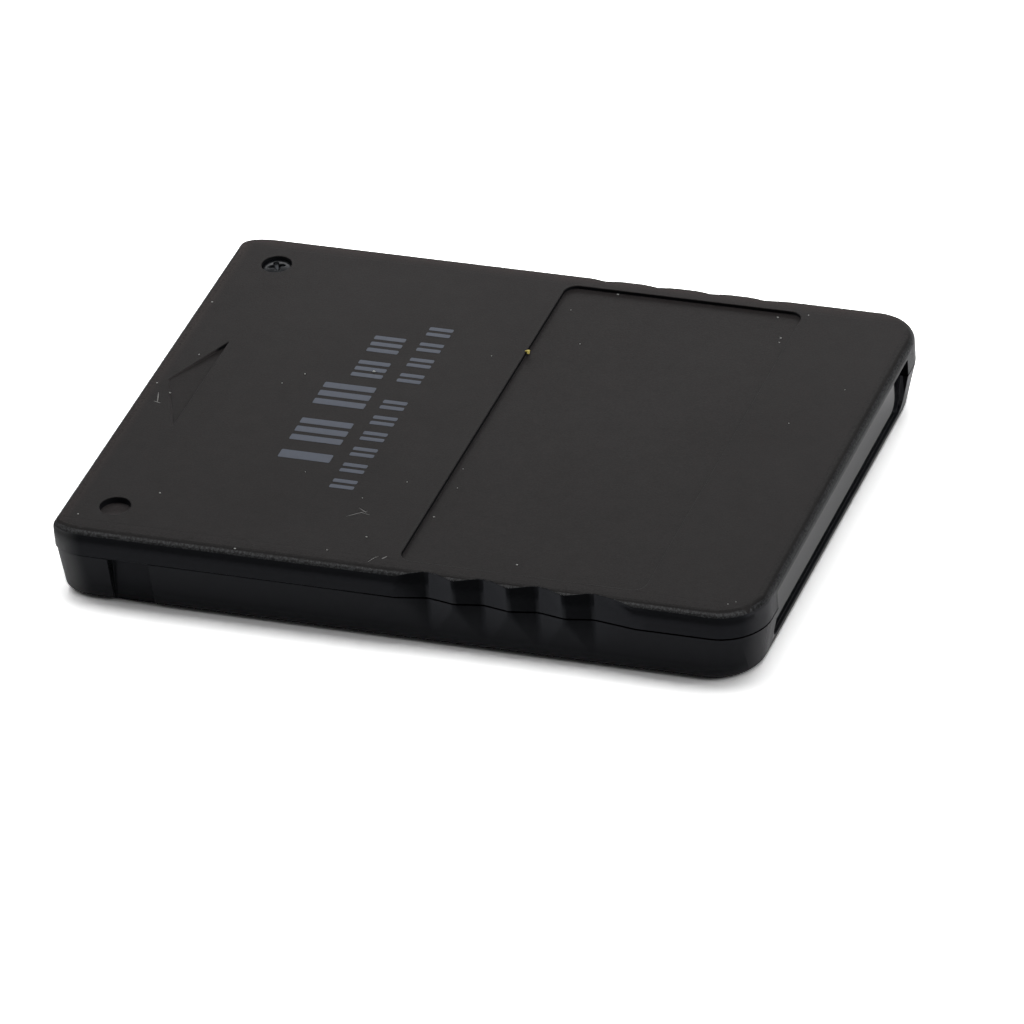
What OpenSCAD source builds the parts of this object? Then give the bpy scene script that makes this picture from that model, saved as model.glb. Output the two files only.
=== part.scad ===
// Console memory card: a flat plug-in memory cartridge in a moulded two-part case.
// X runs along the card from the connector end (-X) to the grip end (+X),
// Y runs across it, and Z points up from the face that it lies on.

/* [Case] */
// Length of the card from the connector end to the grip end
card_l = 55; // [52:0.5:62]
// Width of the card across its straight sides
card_w = 42; // [41.5:0.5:48]
// Thickness of the closed card
card_t = 6.4; // [6.2:0.1:7.6]
// Depth of the top cover from its face down to the parting line
cover_h = 2.25; // [1.9:0.05:2.6]
// Wall of both case halves along the sides and the connector end
wall_t = 1.4; // [1.2:0.05:1.6]
// Thickness of the cover's face
plate_t = 1.1; // [0.9:0.05:1.3]
// Thickness of the bottom housing's floor
floor_t = 1.0; // [0.8:0.05:1.3]
// Length along the card over which each long side curves in at the connector end
rear_corner_l = 2.8; // [1.5:0.1:3]
// Length across the card of the same two curves
rear_corner_w = 1.3; // [1:0.1:2.5]
// Plan radius of the two corners at the grip end
grip_corner_r = 3.6; // [2.5:0.1:4.5]
// Roll of the cover's top edge
top_edge_r = 0.65; // [0.3:0.05:0.9]
// Roll of the housing's bottom edge
bottom_edge_r = 0.7; // [0.3:0.05:0.9]
// How far the housing stands back from the cover at the connector end
shell_step = 0.1; // [0:0.05:0.3]

/* [Tapers of the bottom housing] */
// How far each long side leans in from the parting line to the floor
side_taper = 0.6; // [0:0.05:0.8]
// How far the connector end leans in
rear_taper = 0.25; // [0:0.05:0.6]
// How far the grip end leans in
grip_taper = 0.95; // [0:0.05:1.0]

/* [Side grips] */
// Number of hollows in each long side
grip_count = 4; // [2:1:5]
// Distance between neighbouring hollows
grip_pitch = 4.25; // [3.4:0.05:4.5]
// Place along X where the first hollow starts
grip_start = -0.4; // [-3:0.1:1]
// Length of the slope that leads into the first hollow
grip_lead_in = 2.5; // [1.5:0.1:3]
// Length of the slope that leads out of the last hollow
grip_run_out = 3.4; // [2:0.1:4]
// Depth of a hollow at the parting line, along its deepest line
grip_depth = 0.5; // [0.3:0.05:0.7]
// How much deeper a hollow is at the card's upper face
grip_scoop = 0.12; // [0:0.02:0.4]
// Depth at which the ridges between the hollows stand back from the side
grip_ridge_drop = 0.1; // [0:0.05:0.25]
// Length over which the facets blend into each other
grip_blend = 0.5; // [0.2:0.1:1.2]

/* [Side notches] */
// Distance from the connector end to a side notch
notch_from_end = 4.55; // [4:0.05:6]
// Length of a side notch
notch_l = 3.2; // [2:0.1:4]
// Depth of a side notch below the straight side of the card
notch_depth = 0.95; // [0.7:0.05:1.0]

/* [Label recess] */
// Length of the recess along the card
label_l = 18.9; // [12:0.1:22]
// Distance from the recess to each long side
label_from_side = 1.7; // [1.5:0.1:6]
// Distance from the recess to the grip end
label_from_end = 9.15; // [6:0.05:12]
// Depth of the recess
label_depth = 0.3; // [0.1:0.05:0.4]
// Plan radius of its corners
label_corner_r = 1.0; // [0.3:0.1:2]

/* [Arrow recess] */
// Distance from the connector end to the arrow's tip
arrow_from_end = 1.7; // [1.5:0.1:3]
// Length of the arrow from tip to base
arrow_l = 2.6; // [1.5:0.1:4]
// Width of the arrow's base
arrow_w = 12; // [6:0.5:16]
// Depth at the base, where the sloping floor is lowest
arrow_depth = 0.35; // [0.15:0.05:0.5]
// Depth at the tip
arrow_tip_depth = 0.06; // [0.02:0.02:0.1]

/* [Screw seat and blind dimple] */
// Distance from the connector end to the screw and the dimple
screw_from_end = 4.0; // [3.8:0.1:5]
// Distance from a long side to the screw and the dimple
screw_from_side = 3.75; // [3.6:0.05:4.2]
// Radius of the screw's counterbore and of the dimple
seat_r = 1.17; // [1.1:0.01:1.4]
// Depth of the counterbore
seat_depth = 0.8; // [0.7:0.05:1.2]
// Depth of the blind dimple
dimple_depth = 0.55; // [0.2:0.05:0.7]
// Radius of the posts that meet around the screw
boss_r = 1.9; // [1.7:0.05:2.0]
// Height above the floor plane at which the cover's post meets the housing's
boss_meet_z = 3.5; // [3:0.1:3.9]

/* [Screw] */
// Radius of the screw's head
head_r = 1.05; // [0.9:0.01:1.08]
// Height of the head
head_h = 0.55; // [0.3:0.05:0.6]
// Radius of the shank
shank_r = 0.7; // [0.5:0.05:0.8]
// Length under the head
screw_l = 3.6; // [2.6:0.1:4]
// Depth of the cross slot
slot_depth = 0.3; // [0.1:0.05:0.4]
// Width of the cross slot
slot_w = 0.3; // [0.2:0.05:0.4]
// Space around the screw in the cover and at the tip
screw_gap = 0.1; // [0.05:0.01:0.2]
// Space around the shank in its bore
bore_gap = 0.02; // [0.01:0.01:0.05]

/* [End window] */
// Distance from a long side to the long recess in the grip end
window_from_side = 5.1; // [4.5:0.1:8]
// Thickness of the cover's lip above it
window_lip = 0.95; // [0.6:0.05:1.1]
// Height of its ledge above the floor plane
window_sill = 1.2; // [1.1:0.05:1.8]
// Depth from the card's end to the back wall under the lip
window_depth = 0.45; // [0.4:0.05:1]
// How far the back wall leans in from the lip down to the ledge
window_lean = 0.5; // [0.1:0.05:0.6]
// Radius of its lower corners
window_corner_r = 1.0; // [0.3:0.1:1.4]
// Thickness of the back wall under the lip
window_back_t = 1.8; // [1.6:0.1:2]

/* [Connector mouth] */
// Width of the mouth beyond each side of the board's tongue
mouth_side = 0.4; // [0.2:0.05:0.5]
// Free height above the board
mouth_h = 2.2; // [1.8:0.05:2.3]
// Flare of the mouth's upper and lower edge
mouth_flare = 0.4; // [0.1:0.05:0.6]
// Thickness of the two dividing ribs
divider_t = 1.0; // [0.6:0.1:1.2]
// Length of the dividing ribs
divider_l = 7.6; // [5:0.1:8]
// How far the ribs stand back from the end face
divider_setback = 0.4; // [0.2:0.1:1]

/* [Circuit board] */
// Length of the board
board_l = 39; // [38:0.5:41]
// Distance from the board's edge to the case's inner wall
board_side_gap = 1.6; // [0.5:0.1:1.8]
// Thickness of the board
board_t = 1.0; // [0.8:0.1:1.2]
// Height of the board's underside above the floor plane
board_z = 1.9; // [1.6:0.05:2.0]
// Distance from the card's end to the board's front edge
board_setback = 1.5; // [1.5:0.1:2]
// Space between the board's tongue and the posts beside it
tongue_gap = 0.75; // [0.4:0.05:1]
// Length of the tongue
tongue_l = 5.3; // [5:0.1:6]
// Space left around ribs and pegs that pass through the board
board_gap = 0.15; // [0.05:0.01:0.3]

/* [Contacts] */
// Width of a contact strip
contact_w = 2.0; // [1.4:0.1:2.2]
// Length of a contact strip
contact_l = 8.0; // [6:0.1:8.4]
// Thickness of a contact strip
contact_t = 0.2; // [0.1:0.05:0.3]
// Distance from the outermost strip to the edge of the tongue
contact_edge = 0.8; // [0.4:0.05:1.2]
// Extra space at each dividing rib
contact_group_gap = 1.6; // [1.3:0.1:1.8]

/* [Memory chip] */
// Length of the moulded body
flash_l = 18.4; // [16:0.1:19]
// Width of the moulded body
flash_w = 12; // [10:0.1:12.4]
// Height of the moulded body
flash_h = 1.0; // [0.8:0.05:1.2]
// Distance between its leads
flash_pitch = 0.5; // [0.45:0.05:0.5]
// Number of leads on each end
flash_leads = 24; // [8:2:24]

/* [Controller chip] */
// Side of the square moulded body
control_w = 7; // [6:0.1:7.4]
// Height of the moulded body
control_h = 1.4; // [1:0.05:1.5]
// Distance between its leads
control_pitch = 0.5; // [0.45:0.05:0.5]
// Number of leads on each side
control_leads = 12; // [8:1:12]

/* [Leads of the chips] */
// How far a lead reaches out of the body
lead_reach = 0.9; // [0.7:0.05:1]
// Thickness of the lead metal
lead_t = 0.15; // [0.1:0.01:0.2]
// Width of a lead
lead_w = 0.22; // [0.15:0.01:0.25]
// Gap between a body and the board under it
stand_off = 0.1; // [0.05:0.01:0.2]

/* [Small components] */
// Length of the crystal's ceramic base
crystal_l = 5.0; // [4:0.1:6]
// Width of the crystal's ceramic base
crystal_w = 3.2; // [2.5:0.1:3.6]
// Height of the ceramic base
crystal_h = 0.7; // [0.5:0.05:1]
// Height of the crystal's metal lid
crystal_lid_h = 0.4; // [0.2:0.05:0.6]
// Length of the regulator's body
regulator_l = 4.5; // [3.5:0.1:5]
// Width of the regulator's body
regulator_w = 2.5; // [2:0.1:3]
// Height of the regulator's body
regulator_h = 1.5; // [1:0.05:1.8]
// Length of the tantalum capacitor
tantalum_l = 3.5; // [3:0.1:4]
// Width of the tantalum capacitor
tantalum_w = 2.8; // [2:0.1:3]
// Height of the tantalum capacitor
tantalum_h = 1.9; // [1.2:0.05:2]
// Length of a chip capacitor or resistor
chip_l = 1.6; // [1:0.05:2]
// Width of a chip capacitor or resistor
chip_w = 0.8; // [0.5:0.05:1]
// Height of a chip capacitor
capacitor_h = 0.8; // [0.5:0.05:0.9]
// Height of a chip resistor
resistor_h = 0.45; // [0.3:0.05:0.6]
// Distance from the board's -Y edge to the lower row of small parts
lower_row_edge = 5.5; // [5:0.1:6]
// Distance from the board's +Y edge to the upper row of small parts
upper_row_edge = 7.0; // [6.5:0.1:8]
// Distance between neighbouring rows of small parts
row_pitch = 2.5; // [1.5:0.1:2.6]

/* [Inside of the case] */
// Height of the cover's side lip below the parting line
lip_h = 0.8; // [0.5:0.05:1]
// Thickness of that lip
lip_t = 0.4; // [0.3:0.05:0.5]
// Space between the lip and the housing
lip_gap = 0.06; // [0.04:0.01:0.1]
// Radius of the snap beads on the lip
snap_r = 0.14; // [0.1:0.01:0.16]
// Length of a snap bead
snap_l = 3; // [2:0.1:4]
// Width of the rails that carry the board
rail_w = 2.6; // [2.2:0.1:3]
// Radius of the pegs that locate the board
peg_r = 0.9; // [0.6:0.05:1.1]
// Distance from the board's edge to the pegs
peg_from_edge = 3.5; // [3.2:0.1:4]
// Distance from the board's rear edge to the pegs
peg_from_end = 4.5; // [4:0.1:6]
// Radius of the posts that hold the board down
hold_r = 0.8; // [0.5:0.05:0.9]
// Thickness of the floor's stiffening ribs
stiffener_t = 0.8; // [0.5:0.1:1.2]
// Height of the stiffening ribs above the floor
stiffener_h = 1.6; // [0.8:0.1:2.4]

/* [Hidden] */
$fn = 48;

// Levels and places that follow from the sizes above
half_l = card_l / 2;
half_w = card_w / 2;
label_w = card_w - 2 * label_from_side;
window_w = card_w - 2 * window_from_side;
screw_off = half_w - screw_from_side;
tongue_w = 2 * (screw_off - boss_r - tongue_gap);
mouth_w = tongue_w + 2 * mouth_side;
contact_pitch = (tongue_w / 2 - contact_edge - contact_w / 2 - contact_group_gap) / 3.5;
part_z = card_t - cover_h;
ceiling_z = card_t - plate_t;
board_top = board_z + board_t;
inner_x0 = -half_l + wall_t;
inner_x1 = half_l - window_depth - window_back_t;
inner_y = half_w - wall_t;
inner_corner_r = max(0.5, rear_corner_l - wall_t - 0.4);
board_w = 2 * (inner_y - board_side_gap);
peg_off = board_w / 2 - peg_from_edge;
window_top = card_t - window_lip;
window_x = half_l - window_depth;
mouth_top = board_top + mouth_h;
screw_x = -half_l + screw_from_end;
board_x0 = -half_l + board_setback;
board_x1 = board_x0 + board_l;
peg_x = board_x1 - peg_from_end;
lower_row_y = -board_w / 2 + lower_row_edge;
upper_row_y = board_w / 2 - upper_row_edge;
label_x0 = half_l - label_from_end - label_l;
notch_x0 = -half_l + notch_from_end;
notch_x1 = notch_x0 + notch_l;
lip_x0 = notch_x1 + 1;
lip_x1 = inner_x1 - 1;
divider_x0 = -half_l + divider_setback;
divider_y = contact_pitch + contact_group_gap / 2;
eps = 0.01;
corner_steps = 12;
edge_steps = 6;

// Where the parts on the board sit, as X and Y
flash_at = [3.5, 1.5];
control_at = [-11.5, 3];
crystal_at = [-11.5, -5.6];
regulator_at = [-13, lower_row_y];
tantalum_at = [-6.6, lower_row_y];
capacitors_at = [[-11.5, upper_row_y], [-7.5, upper_row_y], [-15.5, upper_row_y],
                 [-1.8, lower_row_y], [1.8, lower_row_y], [5.2, lower_row_y]];
resistors_at = [[-6.8, -6.6], [-6.8, -4.8], [-5.4, 6.6], [-5.4, 4.8], [-15.5, upper_row_y + row_pitch]];
hold_off = board_w / 2 - 1.6;
hold_at = [[-17.6, hold_off], [board_x1 - 1.6, hold_off]];
snaps_at = [-10, 21.4];
stiffeners_at = [board_x1 + 2.6, board_x1 + 6.8];

// One closed outline of the case: straight sides and four corners, each a quarter of a circle
// or of an ellipse. d moves every side in, side, rear and grip move their own sides in further.
function outline(d, side, rear, grip, z) =
    let (
        y = half_w - d - side,
        x0 = -half_l + d + rear,
        x1 = half_l - d - grip,
        l0 = max(0.2, rear_corner_l - d),
        w0 = max(0.2, rear_corner_w - d),
        r1 = max(0.2, grip_corner_r - d),
        corners = [[x1 - r1, y - r1, r1, r1, 0], [x0 + l0, y - w0, l0, w0, 90],
                   [x0 + l0, -y + w0, l0, w0, 180], [x1 - r1, -y + r1, r1, r1, 270]])
    [for (c = corners) for (k = [0:corner_steps])
        let (a = c[4] + 90 * k / corner_steps)
        [c[0] + c[2] * cos(a), c[1] + c[3] * sin(a), z]];

// A closed solid through a stack of outlines, listed from the lowest up
module loft(rings) {
    n = len(rings[0]);
    m = len(rings);
    polyhedron(
        points = [for (r = rings) for (p = r) p],
        faces = concat(
            [[for (i = [0:n - 1]) i]],
            [[for (i = [n - 1:-1:0]) (m - 1) * n + i]],
            [for (j = [0:m - 2]) for (i = [0:n - 1])
                [j * n + i, (j + 1) * n + i, (j + 1) * n + (i + 1) % n]],
            [for (j = [0:m - 2]) for (i = [0:n - 1])
                [j * n + i, (j + 1) * n + (i + 1) % n, j * n + (i + 1) % n]]));
}

// Outer form of the cover: upright sides and a rolled top edge
module cover_form() {
    r = top_edge_r;
    loft(concat(
        [outline(0, 0, 0, 0, part_z)],
        [for (k = [0:edge_steps])
            let (a = 90 * k / edge_steps)
            outline(r * (1 - cos(a)), 0, 0, 0, card_t - r + r * sin(a))]));
}

// Outer form of the housing: leaning sides and a rolled bottom edge
function lean(z) = 1 - z / part_z;
function housing_outline(d, z) =
    outline(d, side_taper * lean(z), shell_step + rear_taper * lean(z), grip_taper * lean(z), z);
module housing_form() {
    r = bottom_edge_r;
    loft(concat(
        [for (k = [0:edge_steps])
            let (a = 90 * k / edge_steps)
            housing_outline(r * (1 - sin(a)), r * (1 - cos(a)))],
        [housing_outline(0, part_z)]));
}

// A plate with round corners, from x0 to x1 and -y to y
module rounded_plate(x0, x1, y, r, h) {
    translate([x0 + r, -y, 0]) cube([x1 - x0 - 2 * r, 2 * y, h]);
    translate([x0, -y + r, 0]) cube([x1 - x0, 2 * y - 2 * r, h]);
    for (x = [x0 + r, x1 - r]) for (s = [-1, 1])
        translate([x, s * (y - r), 0]) cylinder(r = r, h = h);
}

// A copy on each long side
module both_sides() {
    children();
    mirror([0, 1, 0]) children();
}

// The hollows of one side grip, as corners of [X, depth]: every second one is a valley
grip_corners = concat(
    [[grip_start, 0]],
    [for (k = [0:grip_count - 1]) for (c = [0, 1])
        if (c == 0 || k < grip_count - 1)
            [grip_start + grip_lead_in + (k + c / 2) * grip_pitch, c == 0 ? grip_depth : grip_ridge_drop]],
    [[grip_start + grip_lead_in + (grip_count - 1) * grip_pitch + grip_run_out, 0]]);

// A corner is blended by a parabola that starts and ends half a blend away from it
function toward(p, q) = p + (q - p) * (grip_blend / 2) / abs(q[0] - p[0]);
function blend(a, p, b, t) = (1 - t) * (1 - t) * toward(p, a) + 2 * t * (1 - t) * p + t * t * toward(p, b);
grip_line = concat(
    [grip_corners[0]],
    [for (i = [1:len(grip_corners) - 2]) for (t = [0:0.25:1])
        blend(grip_corners[i - 1], grip_corners[i], grip_corners[i + 1], t)],
    [grip_corners[len(grip_corners) - 1]]);

// One level of the hollows' cutting body. scale is 1 at the parting line.
function grip_ring(scale, z) = concat(
    [[grip_line[0][0], -half_w - 1, z], [grip_line[len(grip_line) - 1][0], -half_w - 1, z]],
    [for (i = [len(grip_line) - 1:-1:0]) [grip_line[i][0], -half_w + grip_line[i][1] * scale, z]]);

// The hollows on both sides: upright up to the parting line, then scooped deeper
module grip_hollows() {
    rise = grip_scoop / grip_depth / cover_h;
    both_sides() loft([grip_ring(1, -1), grip_ring(1, part_z), grip_ring(1 + rise * (cover_h + 1), card_t + 1)]);
}

// The long recess in the grip end: round lower corners, cut through both halves.
// x is its innermost plane, g widens it all round.
module window_space(x, g) {
    y = window_w / 2 + g;
    r = window_corner_r;
    z = window_sill - g;
    translate([x, -y, z + r]) cube([card_l, 2 * y, window_top + g - z - r]);
    translate([x, -y + r, z]) cube([card_l, 2 * y - 2 * r, r + eps]);
    for (s = [-1, 1]) translate([x, s * (y - r), z + r]) rotate([0, 90, 0]) cylinder(r = r, h = card_l);
}

// All that lies outside the leaning face of the window's back wall
module window_slope() {
    translate([window_x, -half_w, window_top])
        rotate([0, atan(window_lean / (window_top - window_sill)), 0])
            translate([0, 0, -2 * card_t]) cube([card_t, card_w, 3 * card_t]);
}

// The connector mouth through the end wall, with a flare around its upper and lower edge
module mouth_space() {
    y = mouth_w / 2;
    f = mouth_flare;
    x = -half_l - 1;
    translate([x, -y, board_z]) cube([wall_t + 1.2, 2 * y, mouth_top - board_z]);
    translate([0, y, 0]) rotate([90, 0, 0]) linear_extrude(height = 2 * y)
        polygon([[x, board_z - f - 1], [-half_l, board_z - f], [-half_l + f, board_z],
                 [-half_l + f, mouth_top], [-half_l, mouth_top + f], [x, mouth_top + f + 1]]);
}

// The inner space of the case between two heights
module inner_space(z0, z1) {
    translate([0, 0, z0]) rounded_plate(inner_x0, inner_x1, inner_y, inner_corner_r, z1 - z0);
}

// The cover: face, side walls, lips with snap beads, two posts and the posts that hold the board
module top_cover() color("#343130") {
    difference() {
        union() {
            difference() {
                cover_form();
                inner_space(part_z - 1, ceiling_z);
            }
            for (s = [-1, 1]) translate([screw_x, s * screw_off, 0])
                translate([0, 0, boss_meet_z]) cylinder(r = boss_r, h = card_t - boss_meet_z - top_edge_r);
            translate([screw_x, -screw_off, boss_meet_z - lip_h]) cylinder(r = shank_r, h = lip_h + 1);
            for (p = hold_at) for (s = [-1, 1])
                translate([p[0], s * p[1], board_top + bore_gap])
                    cylinder(r = hold_r, h = ceiling_z - board_top);
            both_sides() cover_lip();
        }
        grip_hollows();
        window_space(window_x - window_back_t - lip_gap, lip_gap);
        mouth_space();
        label_space();
        arrow_space();
        translate([screw_x, screw_off, card_t - seat_depth]) cylinder(r = seat_r, h = card_t);
        translate([screw_x, screw_off, 0]) cylinder(r = shank_r + screw_gap, h = card_t);
        translate([screw_x, -screw_off, card_t - dimple_depth]) cylinder(r = seat_r, h = card_t);
    }
}

// A lip inside the housing's wall, on the -Y side
module cover_lip() {
    translate([lip_x0, -inner_y - lip_t, part_z - lip_h]) cube([lip_x1 - lip_x0, lip_t, lip_h + 1]);
    for (x = snaps_at) translate([x - snap_l / 2, -inner_y - lip_t, part_z - lip_h / 2])
        rotate([0, 90, 0]) cylinder(r = snap_r, h = snap_l, $fn = 24);
}

module label_space() {
    translate([0, 0, card_t - label_depth])
        rounded_plate(label_x0, label_x0 + label_l, label_w / 2, label_corner_r, 1);
}

// A triangle that points to the connector end. Its floor slopes down from the tip to the base.
module arrow_space() {
    x = -half_l + arrow_from_end;
    intersection() {
        translate([x, 0, card_t - 1]) linear_extrude(height = 2)
            polygon([[0, 0], [arrow_l, -arrow_w / 2], [arrow_l, arrow_w / 2]]);
        translate([x, -arrow_w, card_t - arrow_tip_depth])
            rotate([0, atan((arrow_depth - arrow_tip_depth) / arrow_l), 0])
                translate([-1, 0, 0]) cube([2 * arrow_l, 2 * arrow_w, 2]);
    }
}

// The housing: floor, leaning walls, window wall, board rails and pegs, posts, dividing ribs
module bottom_housing() color("#2b2a2a") {
    difference() {
        union() {
            difference() {
                housing_form();
                inner_space(floor_t, card_t);
            }
            intersection() {
                union() {
                    both_sides() board_rail();
                    for (s = [-1, 1]) translate([screw_x, s * screw_off, floor_t - eps])
                        cylinder(r = boss_r, h = boss_meet_z - floor_t + eps);
                    for (x = stiffeners_at) translate([x, -inner_y - eps, floor_t - eps])
                        cube([stiffener_t, 2 * (inner_y + eps), stiffener_h + eps]);
                }
                translate([-half_l + 1, -half_w + 1, 0]) cube([card_l - 2, card_w - 2, card_t]);
            }
            window_back();
            for (s = [-1, 1]) {
                translate([peg_x, s * peg_off, floor_t - eps]) cylinder(r = peg_r, h = board_top - floor_t);
                translate([divider_x0, s * divider_y - divider_t / 2, floor_t - eps])
                    cube([divider_l, divider_t, mouth_top - board_gap - floor_t]);
            }
        }
        grip_hollows();
        intersection() {
            window_space(window_x - window_lean, 0);
            window_slope();
        }
        difference() {
            mouth_space();
            for (s = [-1, 1]) translate([divider_x0, s * divider_y - divider_t / 2, 0])
                cube([divider_l, divider_t, card_t]);
        }
        both_sides() side_notch();
        both_sides() lip_space();
        translate([screw_x, screw_off, card_t - seat_depth - screw_l - screw_gap])
            cylinder(r = shank_r + bore_gap, h = card_t);
        translate([screw_x, -screw_off, boss_meet_z - lip_h - screw_gap])
            cylinder(r = shank_r + bore_gap, h = card_t);
    }
}

// The upper part of the wall behind the window, which rises into a pocket of the cover
module window_back() {
    y = window_w / 2 - lip_gap;
    z = part_z - 0.5;
    translate([inner_x1, -y, z]) cube([window_back_t, 2 * y, window_top - lip_gap - z]);
}

// A rail along one long side that carries the edge of the board, and a sill under the mouth
module board_rail() {
    x0 = board_x0 + tongue_l + board_gap;
    translate([x0, -inner_y - eps, floor_t - eps])
        cube([board_x1 - x0, rail_w, board_z - floor_t + eps]);
    translate([inner_x0 - eps, -tongue_w / 2, floor_t - eps])
        cube([tongue_l - 1, tongue_w / 2, board_z - floor_t + eps]);
}

// A slot in one long side, below the parting line
module side_notch() {
    translate([notch_x0, -half_w - 1, -1]) cube([notch_l, notch_depth + 1, part_z + 2]);
}

// The step in the housing's wall that takes the cover's lip and its snap beads
module lip_space() {
    h = lip_h + lip_gap;
    t = lip_t + lip_gap;
    translate([lip_x0 - lip_gap, -inner_y - t, part_z - h])
        cube([lip_x1 - lip_x0 + 2 * lip_gap, t + eps, h + 1]);
    for (x = snaps_at) translate([x - snap_l / 2 - lip_gap, -inner_y - lip_t, part_z - lip_h / 2])
        rotate([0, 90, 0]) cylinder(r = snap_r + lip_gap, h = snap_l + 2 * lip_gap, $fn = 24);
}

// A self-tapping screw with a low domed head and a cross slot
module housing_screw() color("#1d1d1f") {
    z = card_t - seat_depth;
    rim = head_h * 0.45;
    translate([screw_x, screw_off, z]) difference() {
        union() {
            rotate_extrude() polygon([[0, 0], [head_r, 0], [head_r, rim], [head_r * 0.86, head_h * 0.82],
                                      [head_r * 0.55, head_h], [0, head_h]]);
            rotate_extrude() polygon([[0, 0.1], [0, -screw_l], [shank_r * 0.45, -screw_l],
                                      [shank_r, -screw_l + shank_r], [shank_r, 0.1]]);
        }
        for (a = [0, 90]) rotate([0, 0, a + 20])
            translate([-head_r * 0.62, -slot_w / 2, head_h - slot_depth]) cube([head_r * 1.24, slot_w, 1]);
    }
}

// The board: a main area, a narrower tongue with slots for the dividing ribs, and two peg holes
module circuit_board() color("#1f5a3c") {
    g = board_gap;
    difference() {
        translate([0, 0, board_z]) union() {
            translate([board_x0 + tongue_l, -board_w / 2, 0])
                cube([board_l - tongue_l, board_w, board_t]);
            translate([board_x0, -tongue_w / 2, 0]) cube([tongue_l + 1, tongue_w, board_t]);
        }
        for (s = [-1, 1]) {
            translate([board_x0 - 1, s * divider_y - divider_t / 2 - g, 0])
                cube([divider_x0 + divider_l + g - board_x0 + 1, divider_t + 2 * g, card_t]);
            translate([peg_x, s * peg_off, 0]) cylinder(r = peg_r + g, h = card_t);
        }
    }
}

// A gold contact strip: flat, with a sloped front end
module contact_strip(i) color("#d2a94a") {
    group = i <= 3 ? -1 : i <= 5 ? 0 : 1;
    y = (i - 4.5) * contact_pitch + group * contact_group_gap;
    translate([board_x0 + contact_t, y + contact_w / 2, board_top]) rotate([90, 0, 0])
        linear_extrude(height = contact_w)
            polygon([[0, 0], [contact_l, 0], [contact_l, contact_t], [2 * contact_t, contact_t]]);
}

// A moulded chip body with slanted sides and a mark beside its first lead
module chip_body(l, w, h) {
    s = 0.12 * h;
    b = lead_t / 2;
    module section(a) {
        polygon([[-a / 2 + s, 0], [a / 2 - s, 0], [a / 2, h / 2 - b], [a / 2, h / 2 + b],
                 [a / 2 - s, h], [-a / 2 + s, h], [-a / 2, h / 2 + b], [-a / 2, h / 2 - b]]);
    }
    difference() {
        intersection() {
            translate([0, w / 2, 0]) rotate([90, 0, 0]) linear_extrude(height = w) section(l);
            translate([-l / 2, 0, 0]) rotate([90, 0, 90]) linear_extrude(height = l) section(w);
        }
        translate([-l / 2 + 1, -w / 2 + 1, h - 0.05]) cylinder(r = 0.35, h = 1);
    }
}

// Leads along one side of a body: each leaves at mid height, bends down and ends in a foot
module lead_row(count, pitch, h) {
    z = stand_off + h / 2 - lead_t / 2;
    t = lead_t;
    q = lead_reach;
    for (i = [0:count - 1])
        translate([0, (i - (count - 1) / 2) * pitch + lead_w / 2, board_top])
            rotate([90, 0, 0]) linear_extrude(height = lead_w)
                polygon([[0, z], [0.22 * q, z], [0.36 * q, 0], [q, 0],
                         [q, t], [0.36 * q + t, t], [0.22 * q + t, z + t], [0, z + t]]);
}

module memory_chip() color("#232326")
    translate([flash_at[0], flash_at[1], board_top + stand_off])
        rotate([0, 0, 90]) chip_body(flash_l, flash_w, flash_h);

module memory_chip_leads() color("#b9bcc0")
    translate([flash_at[0], flash_at[1], 0]) for (a = [90, 270])
        rotate([0, 0, a]) translate([flash_l / 2, 0, 0]) lead_row(flash_leads, flash_pitch, flash_h);

module controller_chip() color("#26262a")
    translate([control_at[0], control_at[1], board_top + stand_off])
        chip_body(control_w, control_w, control_h);

module controller_chip_leads() color("#b9bcc0")
    translate([control_at[0], control_at[1], 0]) for (a = [0:90:270])
        rotate([0, 0, a]) translate([control_w / 2, 0, 0])
            lead_row(control_leads, control_pitch, control_h);

// The crystal: a ceramic base with cut corners and a metal lid
module crystal_base() color("#cfc7b4")
    translate([crystal_at[0], crystal_at[1], board_top]) difference() {
        translate([-crystal_l / 2, -crystal_w / 2, 0]) cube([crystal_l, crystal_w, crystal_h]);
        for (x = [-1, 1]) for (y = [-1, 1])
            translate([x * crystal_l / 2, y * crystal_w / 2, -1]) cylinder(r = 0.25, h = crystal_h + 2);
    }

module crystal_lid() color("#a9acb0")
    translate([crystal_at[0], crystal_at[1], board_top + crystal_h])
        rounded_plate(-crystal_l / 2 + 0.4, crystal_l / 2 - 0.4, crystal_w / 2 - 0.4, 0.4, crystal_lid_h);

// The regulator: a body with one slanted side, three leads and a cooling tab
module regulator() color("#252528")
    translate([regulator_at[0] + regulator_l / 2, regulator_at[1], board_top + lead_t])
        rotate([90, 0, -90]) linear_extrude(height = regulator_l)
            polygon([[-regulator_w / 2, 0], [regulator_w / 2, 0], [regulator_w / 2 - 0.15, regulator_h],
                     [-regulator_w / 2 + 0.35, regulator_h]]);

module regulator_leads() color("#b9bcc0")
    translate([regulator_at[0], regulator_at[1], board_top]) {
        for (x = [-1, 0, 1])
            translate([x * regulator_l / 3 - 0.2, -regulator_w / 2 - 0.9, 0])
                cube([0.4, x == 0 ? regulator_w + 1.4 : 1.6, lead_t]);
    }

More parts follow.
